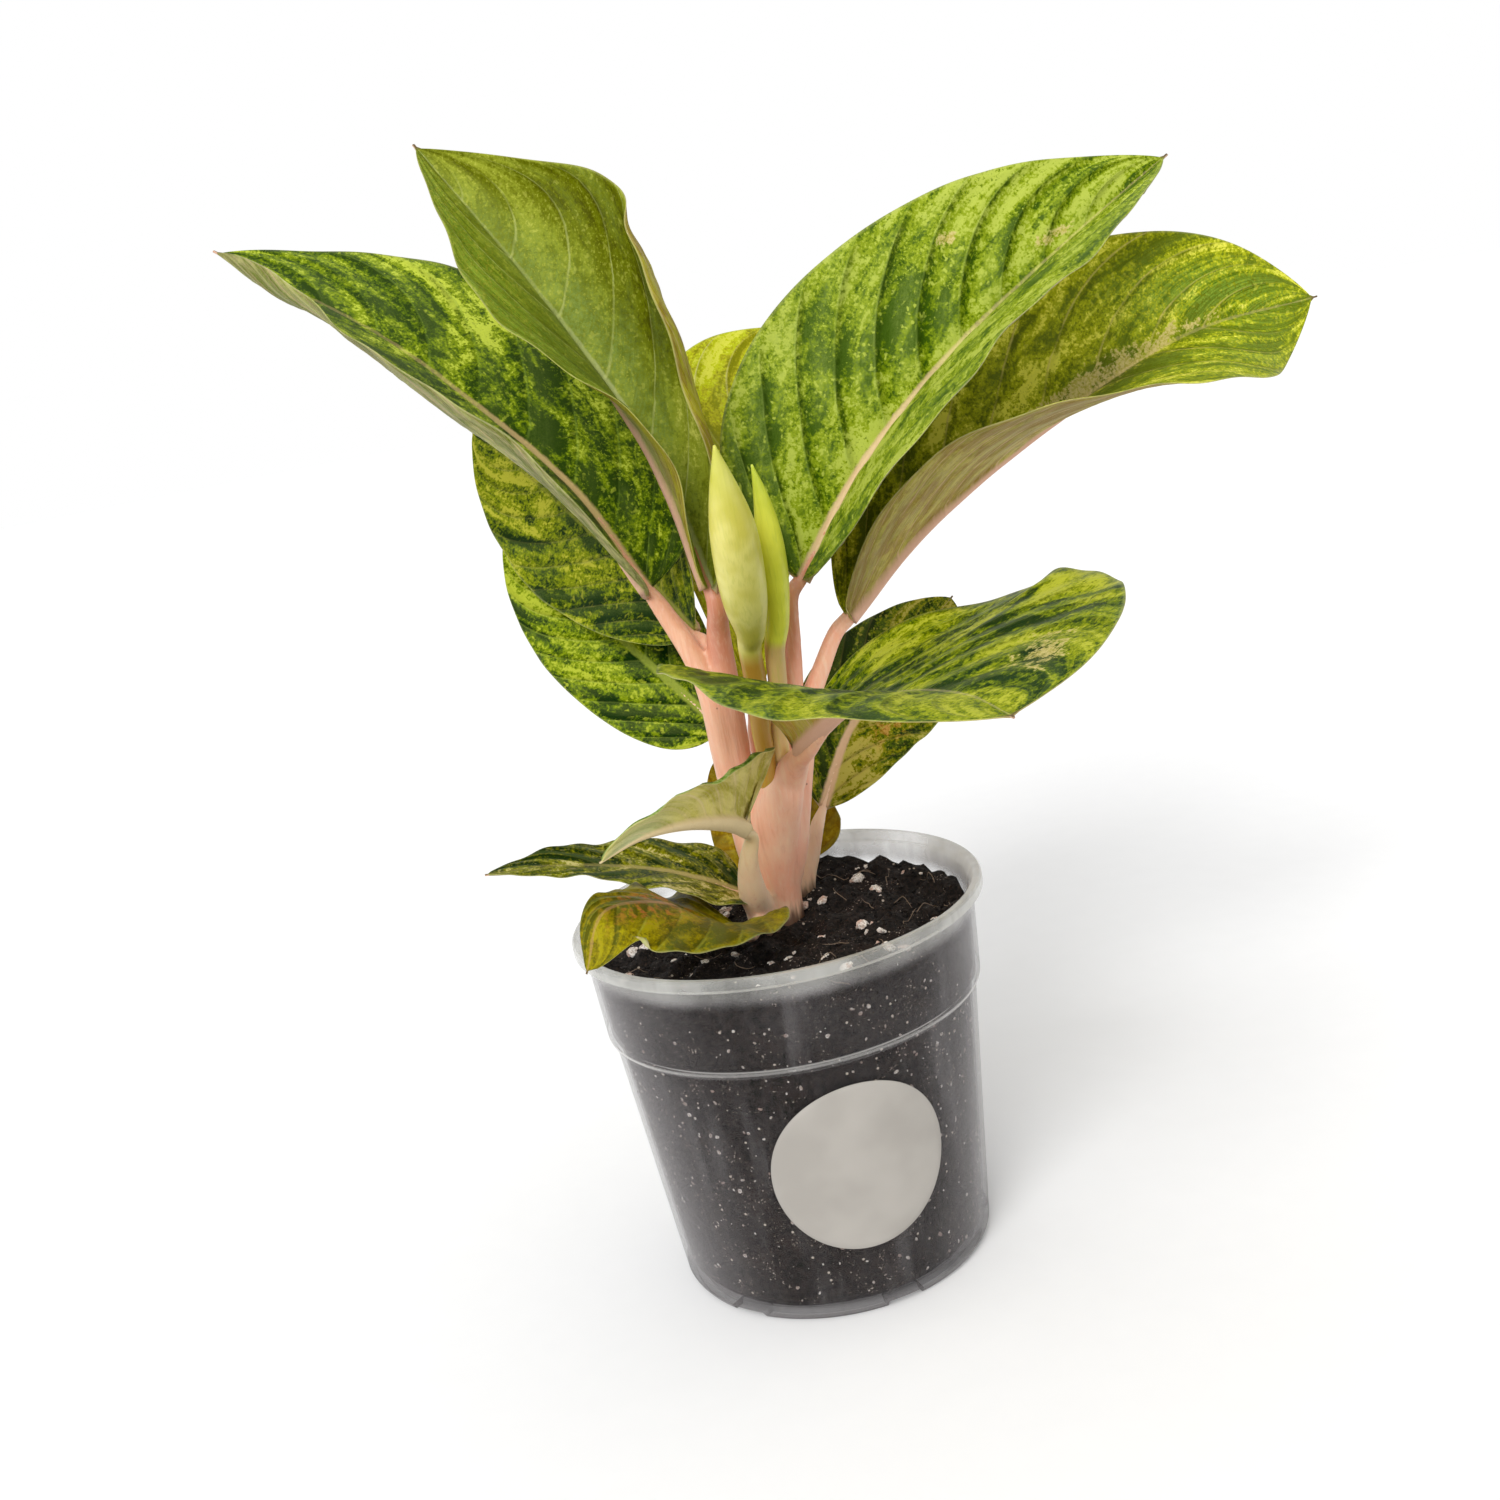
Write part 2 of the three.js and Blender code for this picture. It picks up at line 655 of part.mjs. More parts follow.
// Label: a bare round sticker that follows the pot's wall
function labelGeometry() {
  const rings = labelRings;
  const turns = labelSides;
  const vertices = [];
  const faces = [];
  const at = (ring, k) => (ring ? 1 + (ring - 1) * turns + (k % turns) : 0);
  const place = (a, b, lift) => {
    const z = labelHeight + b;
    const turn = radians(labelDegrees) + a / wallRadius(labelHeight);
    const r = wallRadius(z) + labelGap + lift;
    return new THREE.Vector3(r * Math.cos(turn), r * Math.sin(turn), z);
  };
  for (const lift of [labelThickness, 0]) {
    vertices.push(place(0, 0, lift));
    for (let ring = 1; ring <= rings; ring++) {
      for (let k = 0; k < turns; k++) {
        const reach = ((labelDiameter / 2) * ring) / rings;
        const turn = (2 * Math.PI * k) / turns;
        vertices.push(place(reach * Math.cos(turn), reach * Math.sin(turn), lift));
      }
    }
  }
  const shift = vertices.length / 2;
  for (let k = 0; k < turns; k++) {
    faces.push([0, at(1, k), at(1, k + 1)]);
    for (let ring = 1; ring < rings; ring++) {
      faces.push([at(ring, k), at(ring + 1, k), at(ring + 1, k + 1)]);
      faces.push([at(ring, k), at(ring + 1, k + 1), at(ring, k + 1)]);
    }
  }
  const triangles = [...faces];
  for (const [a, b, c] of faces) triangles.push([a + shift, c + shift, b + shift]);
  for (let k = 0; k < turns; k++) {
    const a = at(rings, k);
    const b = at(rings, k + 1);
    triangles.push([b, a, a + shift], [b, a + shift, b + shift]);
  }
  return geometryOf(vertices, triangles);
}

// The plant in its pot
const plant = new THREE.Group();
plant.name = "potted_chinese_evergreen";

function addPiece(name, geometry, settings) {
  const material = new THREE.MeshStandardMaterial(settings);
  const mesh = new THREE.Mesh(geometry, material);
  mesh.name = name;
  plant.add(mesh);
}

addPiece("nursery_pot", potGeometry(), {
  color: potColour,
  roughness: 0.25,
  transparent: true,
  opacity: 0.35,
});
addPiece("potting_soil", soilGeometry(), { color: soilColour, roughness: 1 });
addPiece("pot_label", labelGeometry(), { color: labelColour, roughness: 0.5 });
addPiece("stem_and_petioles", stemGeometry(), { color: stemColour, roughness: 0.45 });
addPiece("side_shoot", geometryFrom(joined(sideShoot.map(petioleSolid))), {
  color: stemColour,
  roughness: 0.45,
});
for (const leaf of leaves) {
  addPiece(leaf.name, bladeGeometry(leaf), { color: leaf.colour, roughness: 0.4 });
}
for (const spathe of spathes) {
  const steps = Math.round(spatheStepsPerPoint * spathe.route.length);
  addPiece(spathe.name, taperedTube(spathe.route, spathe.radii, spatheSides, steps), {
    color: spatheColour,
    roughness: 0.4,
  });
}

export default plant;
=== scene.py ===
# Potted chinese evergreen in a clear nursery pot: leaves, stalks, spathes, soil, pot and bare label.
import math

import bpy
import numpy as np
from mathutils import Matrix, Vector, kdtree, noise


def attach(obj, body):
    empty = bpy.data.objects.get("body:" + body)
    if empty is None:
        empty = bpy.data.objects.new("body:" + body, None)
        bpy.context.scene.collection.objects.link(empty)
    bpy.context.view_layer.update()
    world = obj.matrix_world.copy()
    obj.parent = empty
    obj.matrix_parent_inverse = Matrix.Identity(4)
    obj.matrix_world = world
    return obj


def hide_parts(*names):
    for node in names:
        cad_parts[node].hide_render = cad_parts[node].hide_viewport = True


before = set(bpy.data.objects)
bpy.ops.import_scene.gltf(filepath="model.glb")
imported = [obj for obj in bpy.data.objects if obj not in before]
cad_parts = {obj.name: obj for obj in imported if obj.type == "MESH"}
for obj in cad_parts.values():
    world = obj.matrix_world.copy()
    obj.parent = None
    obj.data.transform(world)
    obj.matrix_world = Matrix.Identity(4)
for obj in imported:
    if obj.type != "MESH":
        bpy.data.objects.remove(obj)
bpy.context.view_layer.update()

mm = 0.001
scene = bpy.context.scene


# Small tools for meshes

def newPiece(name, points, faces, smooth=True):
    mesh = bpy.data.meshes.new(name)
    mesh.from_pydata([tuple(p) for p in points], [], [tuple(int(v) for v in f) for f in faces])
    mesh.validate()
    mesh.polygons.foreach_set("use_smooth", [smooth] * len(mesh.polygons))
    piece = bpy.data.objects.new(name, mesh)
    scene.collection.objects.link(piece)
    return piece


def dress(piece, material, nodes=()):
    piece.data.materials.clear()
    piece.data.materials.append(material)
    settle(piece, nodes)


def settle(piece, nodes=()):
    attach(piece, "root")
    if nodes:
        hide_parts(*nodes)


def writeUv(mesh, name, places):
    layer = mesh.uv_layers.new(name=name)
    corners = np.empty(len(mesh.loops), int)
    mesh.loops.foreach_get("vertex_index", corners)
    layer.data.foreach_set("uv", np.asarray(places, np.float32)[corners].ravel())


def writeColour(mesh, name, values):
    layer = mesh.attributes.new(name, "FLOAT_COLOR", "POINT")
    whole = np.ones((len(values), 4), np.float32)
    whole[:, : values.shape[1]] = values
    layer.data.foreach_set("color", whole.ravel())


def plainMesh(piece):  # the evaluated shape as a plain mesh, with the modifiers gone
    graph = bpy.context.evaluated_depsgraph_get()
    mesh = bpy.data.meshes.new_from_object(piece.evaluated_get(graph))
    piece.modifiers.clear()
    piece.data = mesh
    return piece


def throughPoints(points, shares):  # a smooth curve through a few points
    p = np.asarray(points, float)
    ends = np.vstack([2 * p[0] - p[1], p, 2 * p[-1] - p[-2]])
    place = np.clip(np.asarray(shares, float), 0, 1) * (len(p) - 1)
    i = np.minimum(place.astype(int), len(p) - 2)
    u = (place - i)[:, None]
    a, b, c, d = ends[i], ends[i + 1], ends[i + 2], ends[i + 3]
    return 0.5 * (2 * b + (c - a) * u + (2 * a - 5 * b + 4 * c - d) * u**2 + (3 * b - a - 3 * c + d) * u**3)


def along(values, shares):  # one number, or a smooth change through equally spaced ones
    if not isinstance(values, (list, tuple)):
        return np.full(len(shares), float(values))
    return throughPoints(np.asarray(values, float)[:, None], shares)[:, 0]


def unit(vectors):
    return vectors / np.maximum(np.linalg.norm(vectors, axis=-1, keepdims=True), 1e-12)


def evenly(points, shares):  # points and directions at equal shares of the curve's length
    fine = throughPoints(points, np.linspace(0, 1, 400))
    steps = np.linalg.norm(np.diff(fine, axis=0), axis=1)
    run = np.concatenate([[0], np.cumsum(steps)])
    wanted = np.asarray(shares) * run[-1]
    place = np.stack([np.interp(wanted, run, fine[:, k]) for k in range(3)], 1)
    slopes = unit(np.gradient(fine, axis=0))
    ahead = unit(np.stack([np.interp(wanted, run, slopes[:, k]) for k in range(3)], 1))
    return place, ahead, run[-1]


def tubeGrid(points, radii, sides, steps, shape=None):  # rings round a curve; shape scales their radius
    shares = np.linspace(0, 1, steps + 1)
    centres = throughPoints(points, shares)
    ahead = unit(np.gradient(throughPoints(points, np.linspace(0, 1, 8 * steps + 1)), axis=0)[::8])
    radius = along(radii, shares)
    turns = turnsRound(sides)
    side = np.array([1.0, 0.2, 0.0])
    rings = []
    for k, share in enumerate(shares):
        side = unit(side - ahead[k] * (side @ ahead[k]))
        other = np.cross(ahead[k], side)
        scale = radius[k] * (np.ones(sides) if shape is None else shape(share, turns))
        ring = centres[k] + np.outer(scale * np.cos(turns), side) + np.outer(scale * np.sin(turns), other)
        rings.append(ring)
    return np.array(rings)


def turnsRound(sides):
    return np.linspace(0, 2 * math.pi, sides, endpoint=False)


def ringPoint(radius, turn, height):  # given in mm
    return (radius * math.cos(turn) * mm, radius * math.sin(turn) * mm, height * mm)


def tubeFaces(steps, sides, start=0):
    faces = []
    for j in range(steps):
        for i in range(sides):
            a = start + j * sides + i
            b = start + j * sides + (i + 1) % sides
            faces.append((a, b, b + sides, a + sides))
    faces.append(tuple(start + i for i in reversed(range(sides))))
    faces.append(tuple(start + steps * sides + i for i in range(sides)))
    return faces


# Small tools for node trees

def hexColour(code):
    parts = [int(code[k:k + 2], 16) / 255 for k in (0, 2, 4)]
    return tuple(p / 12.92 if p <= 0.04045 else ((p + 0.055) / 1.055) ** 2.4 for p in parts) + (1.0,)


def feed(tree, node, values):  # a socket is linked to the node's input, and a plain value is set on it
    for name, value in values.items():
        if isinstance(value, bpy.types.NodeSocket):
            tree.links.new(value, node.inputs[name])
        else:
            node.inputs[name].default_value = value


def put(tree, kind, values=None, **settings):
    node = tree.nodes.new(kind)
    for name, value in settings.items():
        setattr(node, name, value)
    feed(tree, node, values or {})
    return node


def treeOf(*values):  # the tree that the first socket among the values belongs to
    return next(v.id_data for v in values if isinstance(v, bpy.types.NodeSocket))


def calc(operation, a, b=0.0, c=0.0, clamp=False):
    values = {0: a, 1: b, 2: c}
    return put(treeOf(a, b, c), "ShaderNodeMath", values, operation=operation, use_clamp=clamp).outputs[0]


def times(a, b, clamp=False):
    return calc("MULTIPLY", a, b, clamp=clamp)


def ramp(value, low, high, toLow=0.0, toHigh=1.0):
    values = {"Value": value, "From Min": low, "From Max": high, "To Min": toLow, "To Max": toHigh}
    return put(treeOf(value), "ShaderNodeMapRange", values, interpolation_type="SMOOTHSTEP").outputs[0]


def mixed(share, a, b):  # colours are sockets, linear values or hex codes
    a, b = (hexColour(v) if isinstance(v, str) else v for v in (a, b))
    return put(treeOf(share, a, b), "ShaderNodeMix", {0: share, 6: a, 7: b}, data_type="RGBA").outputs[2]


def layered(colour, layers):  # paints each layer's colour over the ones before it, by its share
    for share, over in layers:
        colour = mixed(share, colour, over)
    return colour


def vectorMath(operation, a, values):
    return put(treeOf(a), "ShaderNodeVectorMath", {0: a, **values}, operation=operation).outputs[0]


def spread(vector, scales, shift=(0.0, 0.0, 0.0)):
    return vectorMath("MULTIPLY_ADD", vector, {1: scales, 2: shift})


def noiseOn(vector, scale, detail=2.0, roughness=0.5, distortion=0.0):
    values = {"Vector": vector, "Scale": scale, "Detail": detail, "Roughness": roughness}
    values["Distortion"] = distortion
    return put(treeOf(vector), "ShaderNodeTexNoise", values).outputs[0]


def parted(vector):
    return put(treeOf(vector), "ShaderNodeSeparateXYZ", {0: vector}).outputs


def objectPlace(tree):
    return put(tree, "ShaderNodeTexCoord").outputs["Object"]


def marksOn(tree, name):  # a colour attribute of the piece, as a vector
    return put(tree, "ShaderNodeAttribute", attribute_name=name).outputs["Vector"]


def newGroup(name, inputs, outputs):  # the group with what it is given and the node that it puts out
    group = bpy.data.node_groups.new(name, "ShaderNodeTree")
    for label, kind, value in inputs:
        socket = group.interface.new_socket(label, in_out="INPUT", socket_type="NodeSocket" + kind)
        if value is not None:
            socket.default_value = value
    for label, kind in outputs:
        group.interface.new_socket(label, in_out="OUTPUT", socket_type="NodeSocket" + kind)
    return group, group.nodes.new("NodeGroupInput").outputs, group.nodes.new("NodeGroupOutput")


def newMaterial(name):
    material = bpy.data.materials.new(name)
    material.use_nodes = True
    shader = material.node_tree.nodes["Principled BSDF"]
    return material, material.node_tree, shader


def bump(height, distance, strength=1.0):
    values = {"Height": height, "Distance": distance, "Strength": strength}
    return put(treeOf(height), "ShaderNodeBump", values).outputs[0]


# Camera at the photograph's viewing angle, on a frame of 1500 by 1500
cameraSettings = {
    "place": (0.0, -0.482, 0.276),
    "lens": 42.0,
    "yaw": 0.1,
    "down": 14.1,
    "roll": -10.7,
}


def makeCamera(s):
    yaw, down, roll = (math.radians(s[k]) for k in ("yaw", "down", "roll"))
    ahead = Vector((math.sin(yaw) * math.cos(down), math.cos(yaw) * math.cos(down), -math.sin(down)))
    level = Vector((math.cos(yaw), -math.sin(yaw), 0))
    above = level.cross(ahead)
    right = level * math.cos(roll) + above * math.sin(roll)
    top = above * math.cos(roll) - level * math.sin(roll)
    data = bpy.data.cameras.new("camera")
    data.lens = s["lens"]
    data.sensor_width = 36.0
    data.clip_start = 0.01
    camera = bpy.data.objects.new("camera", data)
    turn = Matrix((right, top, -ahead)).transposed().to_4x4()
    camera.matrix_world = Matrix.Translation(s["place"]) @ turn
    scene.collection.objects.link(camera)
    scene.camera = camera


makeCamera(cameraSettings)
print("camera placed")


# Leaves. Lengths in mm. Each half has a width, a fold from the midrib and a curl on its way to the margin,
# in degrees, from base to tip. "lean" sets the margin back along the midrib, and "roll" turns it over.
# "spots" paint the blade: place along, place across (left is negative), reach along, reach across, what,
# how much.
# Two of these shares paint light into the leaf's colour: a painted shade in the furrow just beyond each side
# vein, and a painted sheen of reflected light between the side veins.
leafDefaults = {
    "full": 1.4, "broad": 0.38, "small": False, "ribs": 9, "ribHeight": 0.7, "veinLead": 0.3,
    "wave": 0.8, "waves": 3.1, "furrowShade": 0.5, "paintedSheen": 0.35, "veinShow": 0.35, "flecks": 0.5, "mottle": 1.0,
    "spots": (),
    "dark": "2c4a0c", "mid": "547a17", "light": "8fa832", "lime": "b7bf45", "vein": "b9bb62",
    "rib": "dcbd92", "underA": "9b8f72", "underB": "8a8a55", "underRib": "d3a890", "underShow": 0.2,
}
leaves = [
    {
        "name": "leaf_upper_left", "slot": "leaf_olive", "seed": 3.1,
        "midrib": [(-2, 4, 202), (-7, 6, 229), (-15, 10, 253), (-34, 20, 291), (-60, 36, 335)],
        "up": (0, -1, 0.2),
        "left": {"width": [16, 24, 38, 38, 32], "fold": [80, 97, 70, 64, 64]},
        "right": {"width": [20, 34, 52, 60, 52], "fold": 0,
                  "curl": [100, 120, 114, 66, 20], "lean": [0, 0, 0, 0.3, 0.4]},
        "dark": "4b4d04", "mid": "697004", "light": "8e9728", "lime": "c6c859", "vein": "b9bf74",
        "rib": "b9bf84", "underA": "867104", "underB": "aaa304", "flecks": 0.3, "mottle": 0.4, "ribs": 7,
        "veinLead": 0.42, "furrowShade": 0.15, "paintedSheen": 0.5, "wave": 1.1, "veinShow": 0.6,
        "spots": [(0.45, 0.1, 0.28, 0.18, "paintedSheen", 1.1), (0.75, 0.05, 0.2, 0.3, "paintedSheen", 0.5),
                  (0.62, 0.6, 0.3, 0.35, "lime", -0.1), (0.3, -0.3, 0.2, 0.3, "paintedSheen", 0.5),
                  (0.6, -0.7, 0.5, 0.5, "green", 0.9), (0.2, 0.3, 0.15, 0.3, "lime", 0.12)],
    },
    {
        "name": "leaf_far_left", "slot": "leaf_dark", "seed": 7.7,
        "midrib": [(-19, 14, 203), (-34, 18, 234), (-56, 26, 261), (-83, 36, 288), (-124, 48, 318)],
        "up": (0, -1, 0.5),
        "left": {"width": [44, 44, 45, 46, 45, 44, 44, 44, 44], "fold": [72, 66, 58, 53, 50, 54, 45, 20, 30],
                 "curl": [28, 32, 40, 44, 46, 28, 60, 125, 130]},
        "right": {"width": [46, 46, 47, 49, 48], "fold": [-15, -19, -24, -29, -28]},
        "dark": "274008", "mid": "516908", "light": "7c900b", "lime": "becc44", "vein": "86a040",
        "rib": "c9ad78", "underA": "626f19", "underB": "969561", "ribHeight": 0.5, "flecks": 0.45,
        "spots": [(0.55, 0.5, 0.06, 0.35, "lime", 0.25), (0.8, 0.8, 0.2, 0.3, "lime", 0.12),
                  (0.36, 0.85, 0.03, 0.1, "cream", 0.9), (0.2, 0.4, 0.2, 0.5, "lime", -0.12)],
    },
    {
        "name": "leaf_upper_right", "slot": "leaf_dark", "seed": 12.4,
        "midrib": [(24, 8, 199), (45.5, 12, 225.5), (75, 18, 251), (110.5, 26, 273.5), (149, 36, 295)],
        "up": (0, -1, 0.1),
        "left": {"width": [48, 46, 43, 43, 38], "fold": 0, "curl": [5, 0, 0, 0, 0]},
        "right": {"width": 46, "fold": [84, 84, 84, 80, 76]},
        "dark": "335004", "mid": "657b04", "light": "8a9c1a", "lime": "b0bd4d", "vein": "a3b45c",
        "rib": "ddbf98", "underA": "9d8f7a", "underB": "8b8c50", "ribs": 10, "ribHeight": 1.5,
        "flecks": 0.9, "furrowShade": 0.9, "paintedSheen": 0.7,
        "spots": [(0.3, -0.75, 0.25, 0.35, "paintedSheen", 0.45), (0.55, -0.92, 0.4, 0.1, "lime", 0.16),
                  (0.5, 0.6, 0.6, 0.5, "lime", 0.12), (0.74, -0.14, 0.05, 0.09, "cream", 0.6),
                  (0.6, -0.62, 0.02, 0.07, "cream", 0.6), (0.85, -0.35, 0.12, 0.3, "lime", 0.1),
                  (0.5, -0.12, 0.3, 0.12, "lime", 0.14), (0.4, -0.45, 0.25, 0.25, "lime", -0.07)],
    },
    {
        "name": "leaf_far_right", "slot": "leaf_olive", "seed": 20.9,
        "midrib": [(36, 16, 184), (62, 20, 205), (100, 30, 225), (150, 44, 243.5), (195, 56, 247)],
        "up": (-0.15, -1, 0),
        "left": {"width": [22, 40, 47, 49, 54], "fold": 0},
        "right": {"width": [38, 40, 44, 52, 62], "fold": [115, 114, 88, 60, 10]},
        "dark": "5b6604", "mid": "818904", "light": "aaaf14", "lime": "e5e252", "vein": "c2b466",
        "rib": "cdb580", "underA": "8c702e", "underB": "938543", "veinShow": 0.6, "flecks": 0.3,
        "spots": [(0.45, -0.35, 0.1, 0.3, "lime", 0.16), (0.75, -0.45, 0.12, 0.3, "green", 0.8),
                  (0.72, -0.4, 0.08, 0.2, "paintedSheen", 0.3), (0.7, 0.6, 0.3, 0.6, "green", 0.6),
                  (0.55, -0.06, 0.28, 0.12, "cream", 0.6), (0.2, -0.4, 0.2, 0.5, "lime", -0.1),
                  (0.9, -0.3, 0.12, 0.6, "green", 0.6), (0.85, 0.0, 0.22, 1.0, "lime", -0.12)],
    },
    {
        "name": "leaf_front_right", "slot": "leaf_bright", "seed": 27.3, "broad": 0.45, "full": 1.3,
        "midrib": [(15, -6, 153.5), (26, -42, 171), (37, -88, 184), (46, -130, 191), (51, -160, 192)],
        "up": (0, 0, 1),
        "left": {"width": [44, 54, 56, 61, 66], "fold": [60, 24, 19.5, 15, 13]},
        "right": {"width": [54, 52, 50, 50, 50], "fold": [80, 42, 17, 5, 0], "curl": [-20, -20, 0, 0, 0],
                  "lean": [0.45, 0.3, 0, 0, 0]},
        "dark": "042e04", "mid": "586c04", "light": "8a9504", "lime": "b5b936", "vein": "a2b24e",
        "rib": "dcc79c", "underA": "b48f29", "underB": "a89940", "flecks": 0.4, "veinShow": 0.25,
        "spots": [(0.85, 0.5, 0.2, 0.5, "lime", 0.14), (0.82, -0.5, 0.12, 0.25, "cream", 0.5),
                  (0.5, 0.95, 0.4, 0.08, "paintedSheen", 0.4), (0.6, -0.9, 0.3, 0.15, "lime", 0.14),
                  (0.3, 0.4, 0.2, 0.45, "lime", -0.1), (0.45, -0.4, 0.2, 0.3, "lime", -0.06)],
    },
    {
        "name": "leaf_back_left", "slot": "leaf_olive", "seed": 33.8, "broad": 0.42,
        "midrib": [(-9, 20, 188), (-22, 38, 205), (-46, 72, 230), (-69, 100, 253)],
        "up": (0, -0.6, 0.8),
        "left": {"width": [22, 25, 29, 29], "fold": [-40, -40, -30]},
        "right": {"width": [18, 22, 26, 28], "fold": [60, 30, -10, -10]},
        "dark": "042504", "mid": "4f5f04", "light": "798504", "lime": "afae34", "vein": "94964a",
        "rib": "8a8c3c", "underA": "9c9266", "underB": "7d8440", "flecks": 0.4,
    },
    {
        "name": "leaf_back_left_low", "slot": "leaf_bright", "seed": 41.2, "full": 1.2,
        "midrib": [(-6, 24, 157), (-24, 40, 177), (-44, 60, 198), (-64, 80, 219)],
        "up": (0, -0.6, 0.8),
        "left": {"width": [22, 22, 24, 24], "fold": -20},
        "right": {"width": [10, 22, 30, 34], "fold": 10},
        "dark": "042704", "mid": "455c04", "light": "748704", "lime": "a9b434", "vein": "a5b650",
        "rib": "8c9a3a", "flecks": 0.8, "spots": [(0.4, 0.0, 0.4, 0.8, "lime", 0.03)],
    },
    {
        "name": "leaf_back", "slot": "leaf_lime", "seed": 48.6, "broad": 0.5, "full": 1.5,
        "midrib": [(4, 30, 158), (8, 58, 204), (22, 100, 240), (49, 130, 264)],
        "up": (0, -1, 0.8),
        "left": {"width": [7, 19, 38, 44], "fold": 10},
        "right": {"width": [10, 22, 40, 42], "fold": 10},
        "dark": "848504", "mid": "a9a41e", "light": "b8c013", "lime": "d1d348", "vein": "cfc98a",
        "rib": "ded6a4", "flecks": 0.3, "veinShow": 0.5,
    },
    {
        "name": "leaf_right_back", "slot": "leaf_dark", "seed": 55.5, "small": True, "broad": 0.45,
        "full": 1.5, "ribs": 7,
        "midrib": [(20, 36, 124), (33, 50, 143), (54, 68, 158), (76, 86, 172)],
        "up": (0, -1, 0.5),
        "left": {"width": 20, "fold": 10},
        "right": {"width": [20, 22, 30], "fold": 10},
        "dark": "142604", "mid": "485a04", "light": "7d7e04", "lime": "b1a74b", "vein": "9a8c48",
        "rib": "dcb896", "flecks": 0.5,
        "spots": [(0.4, 0.5, 0.12, 0.2, "blush", 0.5), (0.75, -0.5, 0.3, 0.6, "lime", -0.12)],
    },
    {
        "name": "leaf_front_low", "slot": "leaf_bright", "seed": 62.0, "small": True, "full": 1.0,
        "broad": 0.3, "ribs": 8,
        "midrib": [(-5, -16, 137), (-10, -27, 143), (-20, -42, 149), (-31, -53, 151), (-42, -58, 148)],
        "up": (0, -0.25, 1),
        "left": {"width": [35, 22, 15, 13, 15], "fold": [98, 95, 90, 80, 60], "curl": [-20, -40, -40, -20, 0],
                 "lean": [0.45, 0.3, 0.1, 0, 0], "roll": [-60, -70, -70, -40, 0]},
        "right": {"width": [5, 5, 6, 9], "fold": [60, 50, 40, 20]},
        "dark": "3c5c12", "mid": "5f8426", "light": "8aa650", "lime": "a8ba78", "rib": "cfc39a",
        "underA": "ab9f36", "underB": "d6c672", "underRib": "d9c498", "underShow": 0.15,
        "spots": [(0.85, 0.0, 0.2, 1.0, "paintedSheen", 0.9)],
    },
    {
        "name": "leaf_low_left", "slot": "leaf_olive", "seed": 69.1, "small": True, "broad": 0.3,
        "full": 1.0, "ribs": 7,
        "midrib": [(-10, 9, 111), (-18, 6, 117), (-34, 3, 125), (-59, -3, 133), (-79, -9, 136)],
        "up": (0, -0.3, 1),
        "left": {"width": [16, 18, 13, 10, 10], "fold": [12, 14, 10, 5, 10], "lean": 0.1},
        "right": {"width": [19, 15, 13, 12, 12], "fold": [15, 5, 5, 0], "lean": [0.2, 0.1, 0, 0]},
        "dark": "142b04", "mid": "555904", "light": "7f8004", "lime": "c9bf7a", "vein": "8f8c40",
        "rib": "a89a60", "underA": "9c9054", "underB": "7d7a30", "flecks": 0.4,
    },
    {
        "name": "leaf_over_rim", "slot": "leaf_lime", "seed": 76.3, "small": True, "broad": 0.4,
        "full": 1.1, "ribs": 7,
        "midrib": [(-11, -10, 106), (-20, -22, 114), (-29, -36, 127), (-44, -52, 133), (-51, -60, 120)],
        "up": (0, -0.35, 1),
        "left": {"width": [20, 22, 22, 22, 20], "fold": [60, 18, -12, -25, -10],
                 "lean": [0.9, 0.3, 0.1, 0, 0]},
        "right": {"width": [38, 25, 13, 9, 6], "fold": [8, 11, 0, 0, 0],
                  "lean": [0.3, 0.55, 0, 0, 0]},
        "dark": "4f4e04", "mid": "706504", "light": "857904", "lime": "998f08", "vein": "9aa03c",
        "rib": "cf9878", "underA": "b4b884", "underB": "939a4e", "flecks": 0.5,
        "spots": [(0.45, 0.35, 0.25, 0.2, "blush", 0.8), (0.6, -0.2, 0.2, 0.2, "blush", 0.5)],
    },
    {
        "name": "leaf_behind_stem", "slot": "leaf_brown", "seed": 83.4, "small": True, "broad": 0.36,
        "full": 1.0, "ribs": 6, "midrib": [(8, 42, 105), (5, 46, 112), (0, 51, 124), (-11, 56, 140)],
        "up": (0, -1, 0.1),
        "left": {"width": 20, "fold": 5, "lean": 0.1},
        "right": {"width": [21, 20, 18, 16], "fold": 5, "lean": [0.25, 0.2, 0.1, 0]},
        "dark": "82640b", "mid": "94780b", "light": "a58c16", "lime": "af9838", "vein": "8a8040",
        "rib": "d0ae8e", "flecks": 0.3,
    },
]
bladeSettings = {"thickness": 0.5, "marginThickness": 0.24, "tipShare": 0.012, "baseWidth": 0.8,
                 "tipWidth": 0.25, "ribDrop": 2.4, "ribWidth": 2.5, "grooveDepth": 0.35, "stepsLong": 140,
                 "stepsAcross": 20, "stepsLongSmall": 84, "stepsAcrossSmall": 14, "rollFrom": 0.86,
                 "furrowAt": 0.28, "veinHeight": 0.14}
halfDefaults = {"fold": 0, "curl": 0, "lean": 0, "roll": 0}
# Spot kinds for the paint: lime and cream are leaf colours, and the third is a painted sheen of reflected
# light.
paintKinds = ("lime", "cream", "paintedSheen")
tintKinds = ("green", "blush")


def leafOutline(leaf, shares):
    u = np.clip(shares / (1 - bladeSettings["tipShare"]), 0, 1)
    rise = (u / leaf["broad"]) ** (leaf["full"] * leaf["broad"])
    return rise * ((1 - u) / (1 - leaf["broad"])) ** (leaf["full"] * (1 - leaf["broad"]))


def midribFrame(leaf, shares):
    place, ahead, length = evenly(leaf["midrib"], shares)
    upward = np.array(leaf["up"], float) - ahead * (ahead @ np.array(leaf["up"], float))[:, None]
    upward = unit(upward)
    return place, ahead, upward, np.cross(ahead, upward), length


